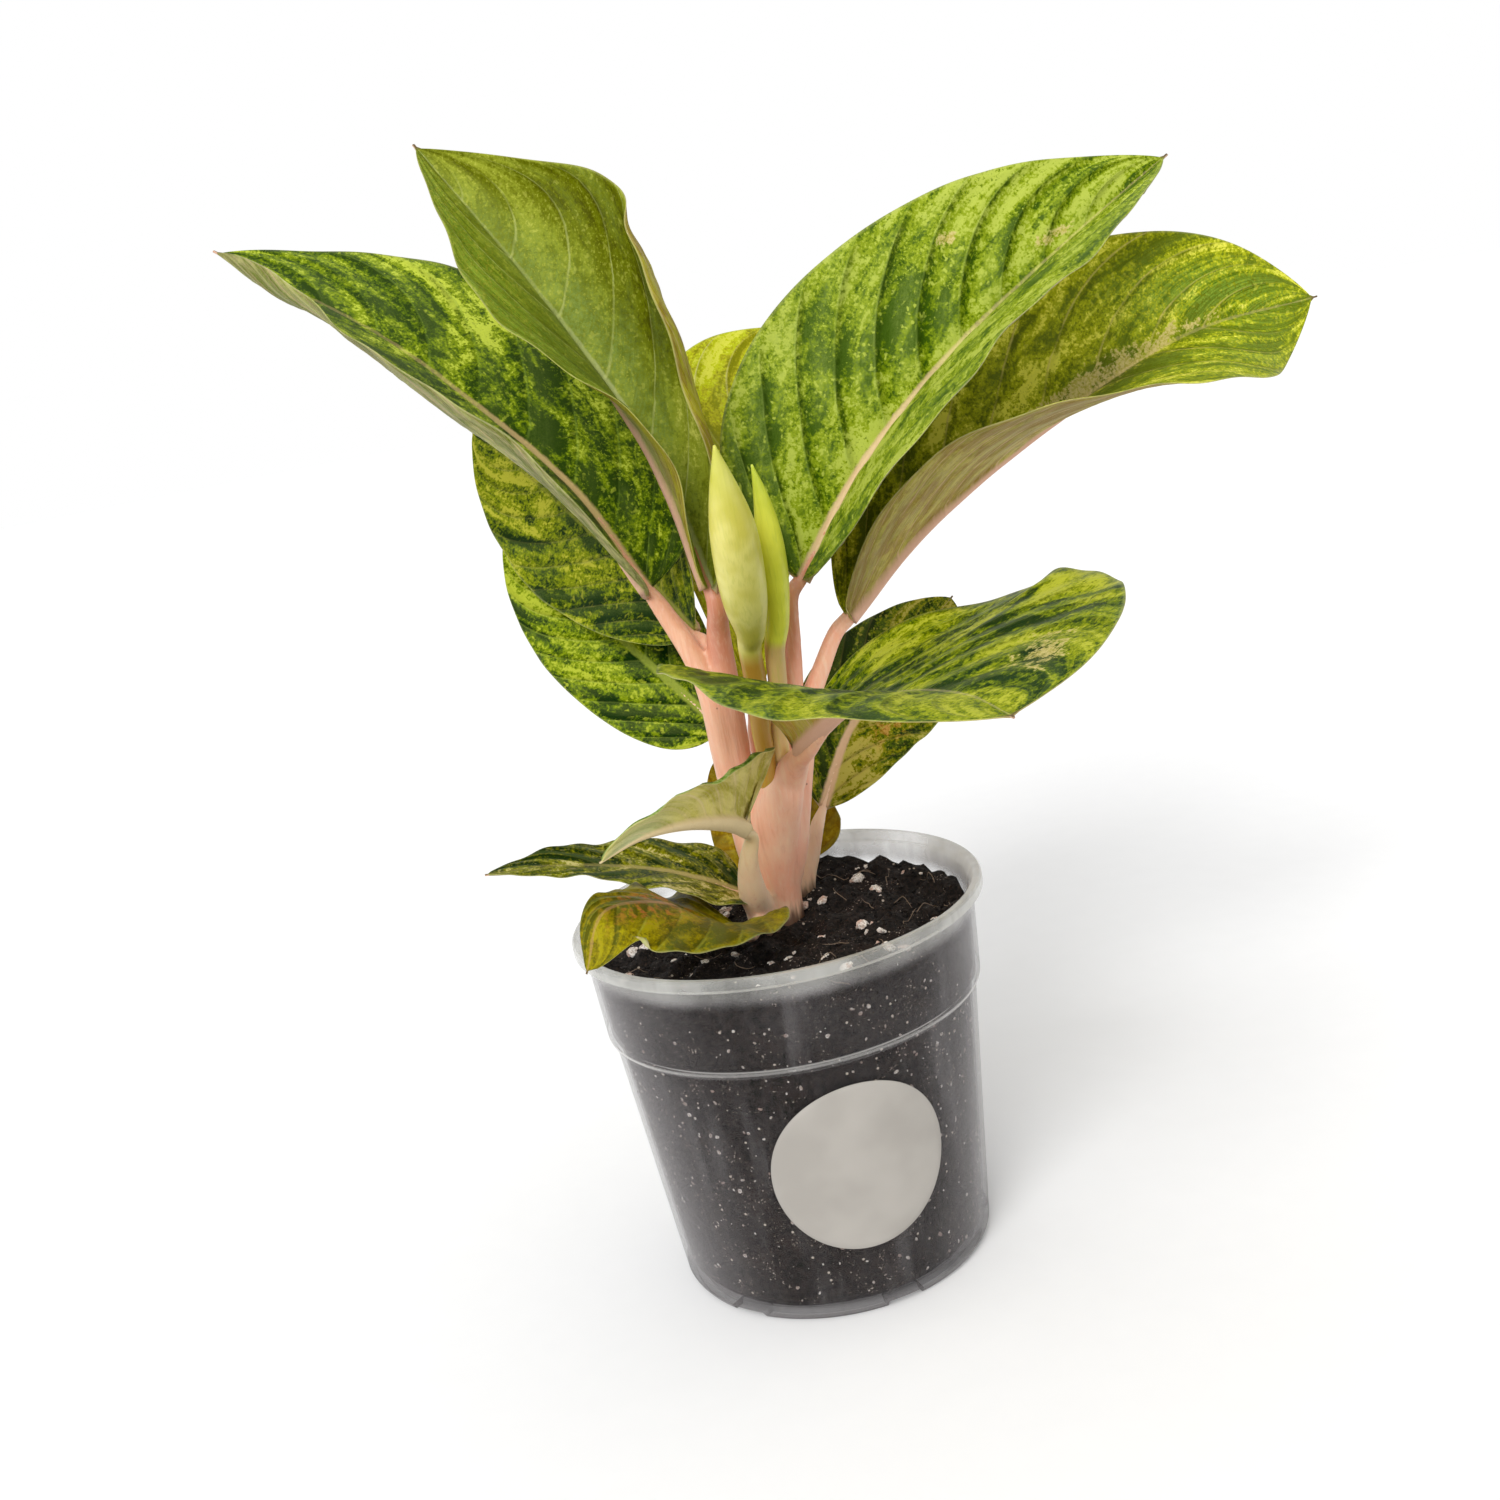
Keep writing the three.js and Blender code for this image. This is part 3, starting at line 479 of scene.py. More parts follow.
def summed(values, outs):  # the running sum along the second axis, read at a few shares of it
    steps = (values[:, 1:] + values[:, :-1]) / (2 * (values.shape[1] - 1))
    run = np.concatenate([np.zeros((len(values), 1)), np.cumsum(steps, axis=1)], 1)
    place = outs * (values.shape[1] - 1)
    low = np.minimum(place.astype(int), values.shape[1] - 2)
    return run[:, low] + (run[:, low + 1] - run[:, low]) * (place - low)


def halfGrid(leaf, key, sign, shares, outs):
    place, ahead, upward, right = midribFrame(leaf, shares)[:4]
    half = {**halfDefaults, **leaf[key]}
    least = bladeSettings["baseWidth"] * (1 - shares) + bladeSettings["tipWidth"] * shares
    width = along(half["width"], shares) * leafOutline(leaf, shares) + least
    fine = np.linspace(0, 1, 121)
    edge = np.clip((fine - bladeSettings["rollFrom"]) / (1 - bladeSettings["rollFrom"]), 0, 1)
    turn = along(half["fold"], shares)[:, None] + along(half["curl"], shares)[:, None] * fine
    turn = np.radians(turn + along(half["roll"], shares)[:, None] * edge)
    sideways = summed(np.cos(turn), outs) * width[:, None]
    upwards = summed(np.sin(turn), outs) * width[:, None]
    back = (along(half["lean"], shares) * width)[:, None] * outs
    grid = place[:, None] + right[:, None] * (sign * sideways)[..., None]
    return grid + upward[:, None] * upwards[..., None] - ahead[:, None] * back[..., None], width


def bladeGrid(leaf):
    size = "Small" if leaf["small"] else ""
    long, across = bladeSettings["stepsLong" + size], bladeSettings["stepsAcross" + size]
    shares = np.linspace(0, 1, long + 1)
    outs = np.linspace(0, 1, across + 1) ** 1.35
    left, leftWidth = halfGrid(leaf, "left", -1, shares, outs)
    right, rightWidth = halfGrid(leaf, "right", 1, shares, outs)
    grid = np.concatenate([left[:, ::-1], right[:, 1:]], 1)
    signedOut = np.concatenate([-outs[::-1], outs[1:]])
    width = np.concatenate([np.repeat(leftWidth[:, None], across + 1, 1),
                            np.repeat(rightWidth[:, None], across, 1)], 1)
    return grid, shares, signedOut, width


def bladeNormals(grid):
    middle = grid.shape[1] // 2
    lengthwise = np.gradient(grid, axis=0)
    crosswise = np.concatenate([np.gradient(grid[:, : middle + 1], axis=1)[:, :-1],
                                np.gradient(grid[:, middle:], axis=1)], 1)
    normals = unit(np.cross(crosswise, lengthwise))
    normals[:, middle] = unit(normals[:, middle - 1] + normals[:, middle + 1])
    return normals


def makeLeaf(leaf, material):
    grid, shares, signedOut, width = bladeGrid(leaf)
    length = midribFrame(leaf, shares)[4]
    out = np.abs(signedOut)[None, :]
    share = shares[:, None]
    distance = out * width
    start = share - leaf["veinLead"] * out**1.25  # where on the midrib a point's side vein starts
    phase = start * leaf["ribs"]
    fade = np.clip((1 - out) / 0.12, 0, 1) * np.clip((1 - share) / 0.12, 0, 1)
    fade = np.clip(distance / 6, 0, 1) * fade
    after = np.mod(phase, 1.0)  # a crest on each side vein, a furrow beyond it and a slow rise to the next
    furrow = bladeSettings["furrowAt"]
    swell = np.where(after < furrow, 0.5 + 0.5 * np.cos(np.pi * after / furrow),
                     0.5 - 0.5 * np.cos(np.pi * (after - furrow) / (1 - furrow)))
    relief = leaf["ribHeight"] * (swell - 0.55) * fade
    beat = 2 * np.pi * (leaf["waves"] * share + 0.13 * leaf["seed"])
    beat = beat + np.where(signedOut < 0, 1.9, 0.0)[None, :]  # the two margins wave out of step
    ripple = np.sin(beat) + 0.5 * np.sin(2.3 * beat + 1.0)
    relief = relief + leaf["wave"] * ripple * out**3 * np.sin(np.pi * share) ** 0.7
    groove = bladeSettings["grooveDepth"] * (1 - share) * np.exp(-((distance / 1.3) ** 2))
    normals = bladeNormals(grid)
    upper = grid + normals * (relief - groove)[..., None]
    thinned = bladeSettings["thickness"] - bladeSettings["marginThickness"]
    thickness = bladeSettings["thickness"] - thinned * out**4
    ribReach = bladeSettings["ribWidth"] * (1 - share) ** 0.8 + 0.25
    ribBody = bladeSettings["ribDrop"] * (1 - share) * np.sqrt(np.clip(1 - (distance / ribReach) ** 2, 0, 1))
    veinRidge = bladeSettings["veinHeight"] * np.exp(-((np.sin(np.pi * phase) / 0.2) ** 2)) * fade
    lower = grid + normals * (relief - thickness - ribBody - veinRidge)[..., None]
    rows, across = grid.shape[:2]
    points = np.concatenate([upper.reshape(-1, 3), lower.reshape(-1, 3)]) * mm
    shift = rows * across
    faces = []
    for j in range(rows - 1):
        for i in range(across - 1):
            a = j * across + i
            faces.append((a, a + 1, a + across + 1, a + across))
            faces.append((a + shift, a + shift + across, a + shift + across + 1, a + shift + 1))
    edge = list(range(across - 1)) + [j * across + across - 1 for j in range(rows - 1)]
    edge += [(rows - 1) * across + i for i in range(across - 1, 0, -1)]
    edge += [j * across for j in range(rows - 1, 0, -1)]
    for a, b in zip(edge, edge[1:] + edge[:1]):
        faces.append((b, a, a + shift, b + shift))
    piece = newPiece(leaf["name"].replace("leaf_", "blade_"), points, faces)
    blade = np.stack(np.broadcast_arrays(signedOut[None, :] * 0.5 + 0.5, share), -1).reshape(-1, 2)
    veins = np.stack([start * length * mm, distance * np.sign(signedOut)[None, :] * mm], -1).reshape(-1, 2)
    writeUv(piece.data, "blade", np.concatenate([blade, blade]))
    writeUv(piece.data, "veins", np.concatenate([veins, veins]))
    paint = np.zeros((rows, across, 3))
    tint = np.zeros((rows, across, 3))
    for atShare, atOut, reachShare, reachOut, kind, amount in leaf["spots"]:
        mark = ((share - atShare) / reachShare) ** 2 + ((signedOut[None, :] - atOut) / reachOut) ** 2
        target, kinds = (paint, paintKinds) if kind in paintKinds else (tint, tintKinds)
        target[..., kinds.index(kind)] += amount * np.exp(-mark)
    paint, tint = paint.reshape(-1, 3), tint.reshape(-1, 3)
    under = tint.copy()
    under[:, 2] = 1.0  # tells the underside from the upper face
    writeColour(piece.data, "paint", np.concatenate([paint, paint]))
    writeColour(piece.data, "tint", np.concatenate([tint, under]))
    dress(piece, material, [leaf["name"]])
    return piece


skinSettings = {  # cells per metre, across the side veins and along them or the same all ways
    "patch": (36, 52), "blotch": (110, 165), "thread": (1100, 200), "speckle": 400.0, "grain": 1250.0,
    "drops": 620.0, "patchShare": 1.4, "blotchShare": 1.15, "speckleShare": 0.85, "grainShare": 0.6,
    "midribWidth": 0.0017, "midribTip": 0.0002, "reliefDepth": 0.0002, "gloss": 0.14,
    "warmSheen": (0.95, 1.0, 0.3, 1.0),
}
leafColours = ("Dark", "Mid", "Light", "Lime", "Vein", "Rib", "Under A", "Under B", "Under Rib")


def makeLeafSkin():  # the colours, roughness and fine relief of every blade
    colourInputs = [(label, "Color", (0.5, 0.5, 0.5, 1.0)) for label in leafColours]
    inputs = [("Veins", "Vector", None), ("Blade", "Vector", None), ("Place", "Vector", None),
              ("Paint", "Vector", None), ("Tint", "Vector", None), ("Seed", "Float", 0.0),
              ("Rib Spacing", "Float", 0.016), ("Vein Show", "Float", 0.4), ("Flecks", "Float", 0.5),
              ("Mottle", "Float", 1.0), ("Furrow Shade", "Float", 0.5), ("Painted Sheen", "Float", 0.3),
              ("Under Show", "Float", 0.2)] + colourInputs
    outputs = [("Color", "Color"), ("Roughness", "Float"), ("Height", "Float")]
    tree, given, result = newGroup("leafSkin", inputs, outputs)
    seed = put(tree, "ShaderNodeCombineXYZ", {2: given["Seed"]}).outputs[0]

    def onVeins(x, y):  # cells per metre across the side veins and along them
        return spread(given["Veins"], (x, y, 1.0), seed)

    def inPlace(scale, shift=0.0):
        return spread(given["Place"], (scale, scale, scale), (shift, shift, shift))

    def centred(value, amount, total=0.0):
        return calc("MULTIPLY_ADD", calc("SUBTRACT", value, 0.5), amount, total)

    s = skinSettings
    patch = noiseOn(onVeins(*s["patch"]), 1.0, 3, 0.6, 0.4)
    blotch = noiseOn(onVeins(*s["blotch"]), 1.0, 3, 0.6, 0.5)
    speckle = noiseOn(inPlace(s["speckle"]), 1.0, 3, 0.62, 0.4)
    grain = noiseOn(inPlace(s["grain"]), 1.0, 2, 0.65)
    drops = noiseOn(inPlace(s["drops"], 7.0), 1.0, 1, 0.5)
    thread = noiseOn(onVeins(*s["thread"]), 1.0, 2, 0.5)
    paint = parted(given["Paint"])
    tint = parted(given["Tint"])
    blade = parted(given["Blade"])
    veins = parted(given["Veins"])
    share = blade[1]
    out = calc("ABSOLUTE", calc("MULTIPLY_ADD", blade[0], 2.0, -1.0))
    distance = calc("ABSOLUTE", veins[1])
    phase = calc("DIVIDE", veins[0], given["Rib Spacing"])
    phase = centred(blotch, 0.12, centred(speckle, 0.04, phase))
    after = calc("FRACT", phase)
    offVein = times(calc("PINGPONG", phase, 0.5), given["Rib Spacing"])

    tone = centred(blotch, s["blotchShare"], centred(speckle, s["speckleShare"]))
    tone = centred(grain, s["grainShare"], centred(patch, s["patchShare"], tone))
    tone = times(tone, given["Mottle"])
    tone = calc("ADD", tone, paint[0])
    colour = mixed(ramp(tone, -0.2, -0.05), given["Dark"], given["Mid"])
    colour = mixed(ramp(tone, -0.06, 0.1), colour, given["Light"])
    colour = mixed(ramp(tone, 0.12, 0.27), colour, given["Lime"])
    greener = mixed(ramp(thread, 0.35, 0.62), "3f6b0c", "93b138")
    greener = mixed(ramp(grain, 0.4, 0.65), greener, colour)
    colour = mixed(times(tint[0], 0.8, clamp=True), colour, greener)
    # Painted sheen: a grey-green cast of reflected light between the side veins, stronger on the sheen spots
    # and broken up by fine noise.
    paintedSheenShare = times(ramp(after, 0.25, 0.75), ramp(after, 0.93, 1.0, 1.0, 0.3))
    paintedSheenShare = times(paintedSheenShare, times(given["Painted Sheen"], ramp(patch, 0.62, 0.4)))
    paintedSheenShare = calc("ADD", paintedSheenShare, paint[2])
    paintedSheenShare = times(paintedSheenShare, ramp(thread, 0.3, 0.7, 0.5, 0.8), clamp=True)
    paintedSheenShare = times(paintedSheenShare, ramp(grain, 0.35, 0.65, 0.9, 0.35))
    colour = mixed(paintedSheenShare, colour, mixed(speckle, "5f7a28", "98aa58"))
    drop = times(ramp(drops, 0.6, 0.68), ramp(blotch, 0.42, 0.55))
    fleck = times(ramp(grain, 0.58, 0.68), ramp(patch, 0.42, 0.55))
    fleck = times(calc("MAXIMUM", fleck, drop), given["Flecks"], clamp=True)
    colour = mixed(fleck, colour, given["Lime"])
    pit = times(ramp(grain, 0.43, 0.34), ramp(blotch, 0.62, 0.45))
    colour = mixed(times(pit, times(given["Mottle"], 0.6)), colour, given["Dark"])
    # Painted shade: a dark band just beyond each side vein, where the furrow turns from the light, in the
    # Dark colour taken nearly halfway to black; weaker near the margin, the midrib and the tip.
    furrowShadeShare = times(ramp(after, 0.0, 0.04), ramp(after, 0.07, 0.24, 1.0, 0.0))
    furrowShadeShare = times(furrowShadeShare, ramp(speckle, 0.35, 0.62, 1.0, 0.35))
    furrowShadeShare = times(furrowShadeShare, times(given["Furrow Shade"], ramp(out, 0.8, 1.0, 1.0, 0.1)))
    furrowShadeShare = times(furrowShadeShare, ramp(out, 0.03, 0.2, 0.2, 1.0))
    furrowShadeShare = times(furrowShadeShare, ramp(share, 0.75, 0.93, 1.0, 0.15))
    furrow = mixed(0.45, given["Dark"], (0.0, 0.0, 0.0, 1.0))
    colour = mixed(furrowShadeShare, colour, furrow)
    veinLine = times(ramp(offVein, 0.0001, 0.0008, 1.0, 0.0), ramp(blotch, 0.35, 0.6, 0.3, 1.0))
    veinLine = times(veinLine, ramp(share, 0.78, 0.95, 1.0, 0.1))
    colour = mixed(times(veinLine, given["Vein Show"]), colour, given["Vein"])
    blushShare = times(tint[1], ramp(speckle, 0.48, 0.6), clamp=True)
    colour = mixed(blushShare, colour, "c0603c")
    creamShare = centred(blotch, 1.0, centred(speckle, 0.9, centred(grain, 0.5, paint[1])))
    creamShare = times(ramp(creamShare, 0.34, 0.52), ramp(paint[1], 0.05, 0.25, 0.0, 0.85))
    cream = mixed(ramp(grain, 0.4, 0.6), "b3a552", "cfbd80")
    colour = mixed(creamShare, colour, cream)
    ribReach = calc("MULTIPLY_ADD", calc("SUBTRACT", 1.0, share), s["midribWidth"], s["midribTip"])
    ribLine = ramp(calc("DIVIDE", centred(speckle, 0.001, distance), ribReach), 0.5, 1.15, 1.0, 0.0)
    colour = mixed(times(ribLine, ramp(share, 0.2, 0.7, 0.95, 0.25)), colour, given["Rib"])
    edgeLine = times(ramp(out, 0.975, 0.995), 0.3)
    colour = layered(colour, [(edgeLine, "b4ba74"), (ramp(share, 0.982, 0.994), "6d5a40")])

    below = mixed(ramp(blotch, 0.4, 0.6), given["Under A"], given["Under B"])
    belowRib = ramp(calc("DIVIDE", distance, ribReach), 0.9, 2.1, 1.0, 0.0)
    below = layered(below, [
        (times(ramp(thread, 0.4, 0.65), 0.3), given["Under Rib"]),
        (times(ramp(grain, 0.45, 0.7), 0.3), given["Under B"]),
        (given["Under Show"], colour),
        # painted sheen from the same spots shows on the underside as well
        (times(paint[2], 0.7, clamp=True), "9fae8c"),
        (times(veinLine, 0.4), given["Under Rib"]),
        (belowRib, given["Under Rib"]),
        (edgeLine, "cfca9c"),
    ])
    rough = calc("MULTIPLY_ADD", speckle, 0.18, 0.34)
    height = calc("MULTIPLY_ADD", speckle, 0.9, times(thread, 0.4))
    height = calc("MULTIPLY_ADD", grain, 0.45, height)
    feed(tree, result, {
        "Color": mixed(tint[2], colour, below),
        "Roughness": calc("MULTIPLY_ADD", tint[2], 0.12, rough),
        "Height": calc("MULTIPLY_ADD", veinLine, 0.5, height),
    })
    return tree


def makeLeafMaterial(leaf, skin, length):
    material, tree, shader = newMaterial(leaf["name"].replace("leaf_", "skin_"))
    values = {"Seed": leaf["seed"], "Rib Spacing": length * mm / leaf["ribs"], "Vein Show": leaf["veinShow"],
              "Flecks": leaf["flecks"], "Mottle": leaf["mottle"], "Under Show": leaf["underShow"],
              "Furrow Shade": leaf["furrowShade"], "Painted Sheen": leaf["paintedSheen"]}
    for label in leafColours:
        key = label[0].lower() + label[1:].replace(" ", "")
        values[label] = hexColour(leaf[key])
    values["Veins"] = put(tree, "ShaderNodeUVMap", uv_map="veins").outputs[0]
    values["Blade"] = put(tree, "ShaderNodeUVMap", uv_map="blade").outputs[0]
    values["Place"] = objectPlace(tree)
    values["Paint"] = marksOn(tree, "paint")
    values["Tint"] = marksOn(tree, "tint")
    made = put(tree, "ShaderNodeGroup", values, node_tree=skin).outputs
    feed(tree, shader, {
        "Base Color": made["Color"], "Roughness": made["Roughness"],
        "Normal": bump(made["Height"], skinSettings["reliefDepth"]),
        "Specular IOR Level": skinSettings["gloss"], "Specular Tint": skinSettings["warmSheen"],
    })
    return material


leafSkin = makeLeafSkin()
for given in leaves:
    leaf = {**leafDefaults, **given}
    leafLength = midribFrame(leaf, np.linspace(0, 1, 3))[4]
    makeLeaf(leaf, makeLeafMaterial(leaf, leafSkin, leafLength))
print("leaves made")


# Stalks. Routes in mm start inside the stem, and each goes on under its blade as the midrib. "tone" runs from
# pink to cream, "flush" adds red, "tail" widens the end under the blade.
stalkSettings = {"voxel": 0.7, "smoothing": 5, "sides": 20, "lead": 6.0, "drop": 1.5, "bladeLength": 180.0,
                 "tailReach": (0.0, 8.0, 18.0, 32.0, 48.0), "tailDrop": (2.0, 2.1, 1.75, 1.3, 0.9),
                 "tailRadius": (2.3, 2.0, 1.6, 1.15, 0.75)}
stemStalks = [
    {"leaf": "leaf_front_right", "tone": 0.25, "tail": 1.1, "radii": [6, 6, 7.3, 6.9, 5.4, 3.6],
     "route": [(2, 14, 80), (2, 14, 103), (3, 11, 124), (7, 7, 138), (10.5, 5, 144)]},
    {"leaf": "leaf_upper_left", "tone": 0.1, "flush": 0.7, "radii": [5, 5.5, 5, 4.5, 3.6, 2.8],
     "route": [(1, 14, 108), (-3, 14, 121), (-4, 14, 143), (-3, 13, 166), (-2, 10, 186)]},
    {"leaf": "leaf_far_left", "tone": 0.2, "radii": [4, 4.5, 4.2, 4, 3.4, 2.7],
     "route": [(-1, 13, 108), (-3, 13, 121), (-6, 13, 144), (-7, 12, 169), (-10, 12, 182)]},
    {"leaf": "leaf_upper_right", "tone": 0.0, "flush": 0.5, "radii": [5.5, 5.5, 5.2, 3.6, 2.6, 2.3],
     "route": [(3, 13, 110), (6, 13, 122), (10.5, 12, 147), (16, 11, 169), (18.5, 10, 182)]},
    {"leaf": "leaf_far_right", "tone": 0.25, "radii": [5, 5, 4.4, 3.2, 2.7, 2.4],
     "route": [(4, 14, 110), (8, 15, 121), (14, 15, 143), (20, 14.5, 161), (25.5, 14.7, 171)]},
    {"leaf": "leaf_back_left", "tone": 0.3, "radii": [3.5, 3.5, 3.3, 3.0, 2.6],
     "route": [(-2, 14, 112), (-5, 14, 130), (-7, 15, 150), (-7, 16, 170)]},
    {"leaf": "leaf_back_left_low", "tone": 0.3, "radii": [4, 3.8, 3.2, 2.6],
     "route": [(1, 16, 108), (0, 18, 122), (-1, 19, 138)]},
    {"leaf": "leaf_back", "tone": 0.3, "radii": [4, 4, 3.5, 3.1, 2.6],
     "route": [(3, 16, 108), (3.4, 18, 119), (3.7, 21, 132), (4, 24.5, 143)]},
    {"leaf": "leaf_front_low", "tone": 0.85, "green": 1.0, "tail": 1.0, "radii": [4.6, 4.6, 4.2, 2.9, 2.0],
     "route": [(-4.5, 6, 80), (-4.5, 6, 103), (-6, -2, 114), (-5.5, -9, 125)]},
    {"leaf": "leaf_low_left", "tone": 0.5, "radii": [3, 2.6, 2.2],
     "route": [(1, 13, 102), (-3, 12, 104)]},
    {"leaf": "leaf_over_rim", "tone": 0.5, "radii": [2.4, 2.0, 1.7],
     "route": [(-3, 6, 103), (-5, 1, 104)]},
]
shootStalks = [
    {"leaf": "leaf_right_back", "tone": 0.7, "radii": [3.2, 3, 2.5, 2.2],
     "route": [(10, 31, 80), (10, 31, 100), (14, 33, 111)]},
    {"leaf": "leaf_behind_stem", "tone": 0.7, "radii": [2.6, 2.4, 2.2],
     "route": [(10, 31.5, 84), (10, 34.5, 90)]},
]


def stalkPath(stalk):  # the route's points with their radii, on into the underside of the blade
    s = stalkSettings
    leaf = {**leafDefaults, **next(l for l in leaves if l["name"] == stalk["leaf"])}
    length = midribFrame(leaf, np.array([0.0, 1.0]))[4]
    size = min(1.0, length / s["bladeLength"])
    reach = np.array(s["tailReach"]) * size
    place, ahead, upward = midribFrame(leaf, reach / length)[:3]
    thick = np.linspace(stalk.get("tail", 1.0), 1.0, len(reach)) * max(size, 0.6)
    tail = place - upward * (np.array(s["tailDrop"]) * thick)[:, None]
    lead = place[0] - ahead[0] * s["lead"] - upward[0] * s["drop"]
    route = stalk["route"] + [tuple(lead)] + [tuple(p) for p in tail]
    radii = along(stalk["radii"], np.linspace(0, 1, len(stalk["route"]) + 1))
    return route, list(radii) + list(np.array(s["tailRadius"]) * thick)


def makeStalks(name, stalks, material, node):
    s = stalkSettings
    points, faces, tones, anchors = [], [], [], []
    for stalk in stalks:
        route, radii = stalkPath(stalk)
        steps = 8 * len(route)
        grid = tubeGrid(route, radii, s["sides"], steps) * mm
        faces += tubeFaces(steps, s["sides"], len(points))
        points += list(grid.reshape(-1, 3))
        for spot in throughPoints(route, np.linspace(0, 1, 90)) * mm:
            anchors.append(spot)
            tones.append((stalk["tone"], stalk.get("flush", 0.0), stalk.get("green", 0.0)))
    piece = newPiece(name, points, faces)
    remesh = piece.modifiers.new("remesh", "REMESH")
    remesh.mode = "VOXEL"
    remesh.voxel_size = s["voxel"] * mm
    soften = piece.modifiers.new("soften", "SMOOTH")
    soften.factor = 0.5
    soften.iterations = s["smoothing"]
    plainMesh(piece)
    piece.data.polygons.foreach_set("use_smooth", [True] * len(piece.data.polygons))
    tree = kdtree.KDTree(len(anchors))
    for k, spot in enumerate(anchors):
        tree.insert(spot, k)
    tree.balance()
    marks = np.zeros((len(piece.data.vertices), 3))
    for vertex in piece.data.vertices:
        near = tree.find_n(vertex.co, 5)
        weights = np.array([1 / (d + 1e-4) ** 2 for _, _, d in near])
        marks[vertex.index] = weights @ np.array([tones[k] for _, k, _ in near]) / weights.sum()
    writeColour(piece.data, "tone", marks)
    dress(piece, material, [node])
    return piece


def makeStalkMaterial():
    material, tree, shader = newMaterial("stalkSkin")
    place = objectPlace(tree)
    marks = parted(marksOn(tree, "tone"))
    height = parted(place)[2]
    streak = noiseOn(spread(place, (620.0, 620.0, 38.0)), 1.0, 3, 0.6)
    fine = noiseOn(spread(place, (1600.0, 1600.0, 160.0)), 1.0, 2, 0.6)
    cloud = noiseOn(place, 70.0, 3, 0.55)
    pale = calc("MULTIPLY_ADD", calc("SUBTRACT", cloud, 0.5), 0.9, marks[0])
    colour = mixed(ramp(pale, -0.1, 0.9), "efad8f", "f2d3b2")
    flush = times(marks[1], ramp(height, 0.145, 0.185), clamp=True)
    cells = put(tree, "ShaderNodeTexVoronoi", {"Vector": place, "Scale": 190.0})
    dot = ramp(cells.outputs["Distance"], 0.06, 0.11, 1.0, 0.0)
    chosen = ramp(parted(cells.outputs["Color"])[0], 0.78, 0.8)
    soilStain = ramp(calc("MULTIPLY_ADD", streak, 0.009, height), 0.1035, 0.109, 0.85, 0.0)
    colour = layered(colour, [
        (ramp(height, 0.15, 0.21, 0.0, 0.5), "cf8f62"),
        (times(ramp(streak, 0.5, 0.72), 0.4), "f5d2b0"),
        (times(ramp(streak, 0.46, 0.28), 0.3), "d08a70"),
        (times(flush, ramp(cloud, 0.35, 0.6, 0.3, 0.7)), "b9604e"),
        (times(ramp(fine, 0.5, 0.7), 0.15), "f2dcc8"),
        (times(dot, chosen), "6a3a2a"),
        (times(marks[2], ramp(height, 0.116, 0.134)), "d9c090"),
        (soilStain, "4a3226"),
    ])
    feed(tree, shader, {
        "Base Color": colour, "Roughness": ramp(streak, 0.2, 0.8, 0.36, 0.5),
        "Normal": bump(calc("MULTIPLY_ADD", fine, 0.5, streak), 0.0002),
        "Subsurface Weight": 0.25, "Subsurface Radius": (1.0, 0.4, 0.3), "Subsurface Scale": 0.002,
    })
    return material


stalkMaterial = makeStalkMaterial()
makeStalks("stalks", stemStalks, stalkMaterial, "stem_and_petioles")
makeStalks("side_stalks", shootStalks, stalkMaterial, "side_shoot")
print("stalks made")


# Spathes: each is a sheath wrapped round itself on its own stalk, pointed at the top
spatheSettings = [
    {
        "name": "sheath_tall", "node": "spathe_tall", "collar": 0.42, "seam": 0.9,
        "route": [(3, 11, 127), (4.5, 5, 143), (5, 2.9, 152.6), (5, 2.4, 159), (6, 1.2, 171), (6, -3, 184),
                  (7, -7, 190), (7, -11, 198), (7, -16, 208), (7, -22, 220), (6.6, -27, 231),
                  (6.2, -31, 243)],
        "radii": [2.6, 2.6, 2.6, 2.8, 3.1, 3.3, 4.3, 6.1, 6.8, 6.4, 4.1, 0.35],
        "pale": "f2e98c", "body": "d9cf5c", "tip": "c2c44c", "stalk": "bd8f35",
    },
    {
        "name": "sheath_short", "node": "spathe_short", "collar": 0.5, "seam": 2.4,
        "route": [(8, 8, 138), (9, 6, 148), (10.1, 5, 156.4), (11, 4, 163), (12, 3, 171), (13, 1, 182),
                  (15, -1, 190), (16, -5, 203), (16.6, -9, 215), (16.3, -12, 226), (15.3, -14, 235)],
        "radii": [2.6, 2.6, 2.6, 2.6, 2.7, 2.9, 3.4, 4.3, 3.7, 2.1, 0.3],
        "pale": "f4f45c", "body": "e2e44c", "tip": "b4c43c", "stalk": "d9b878",
    },
]


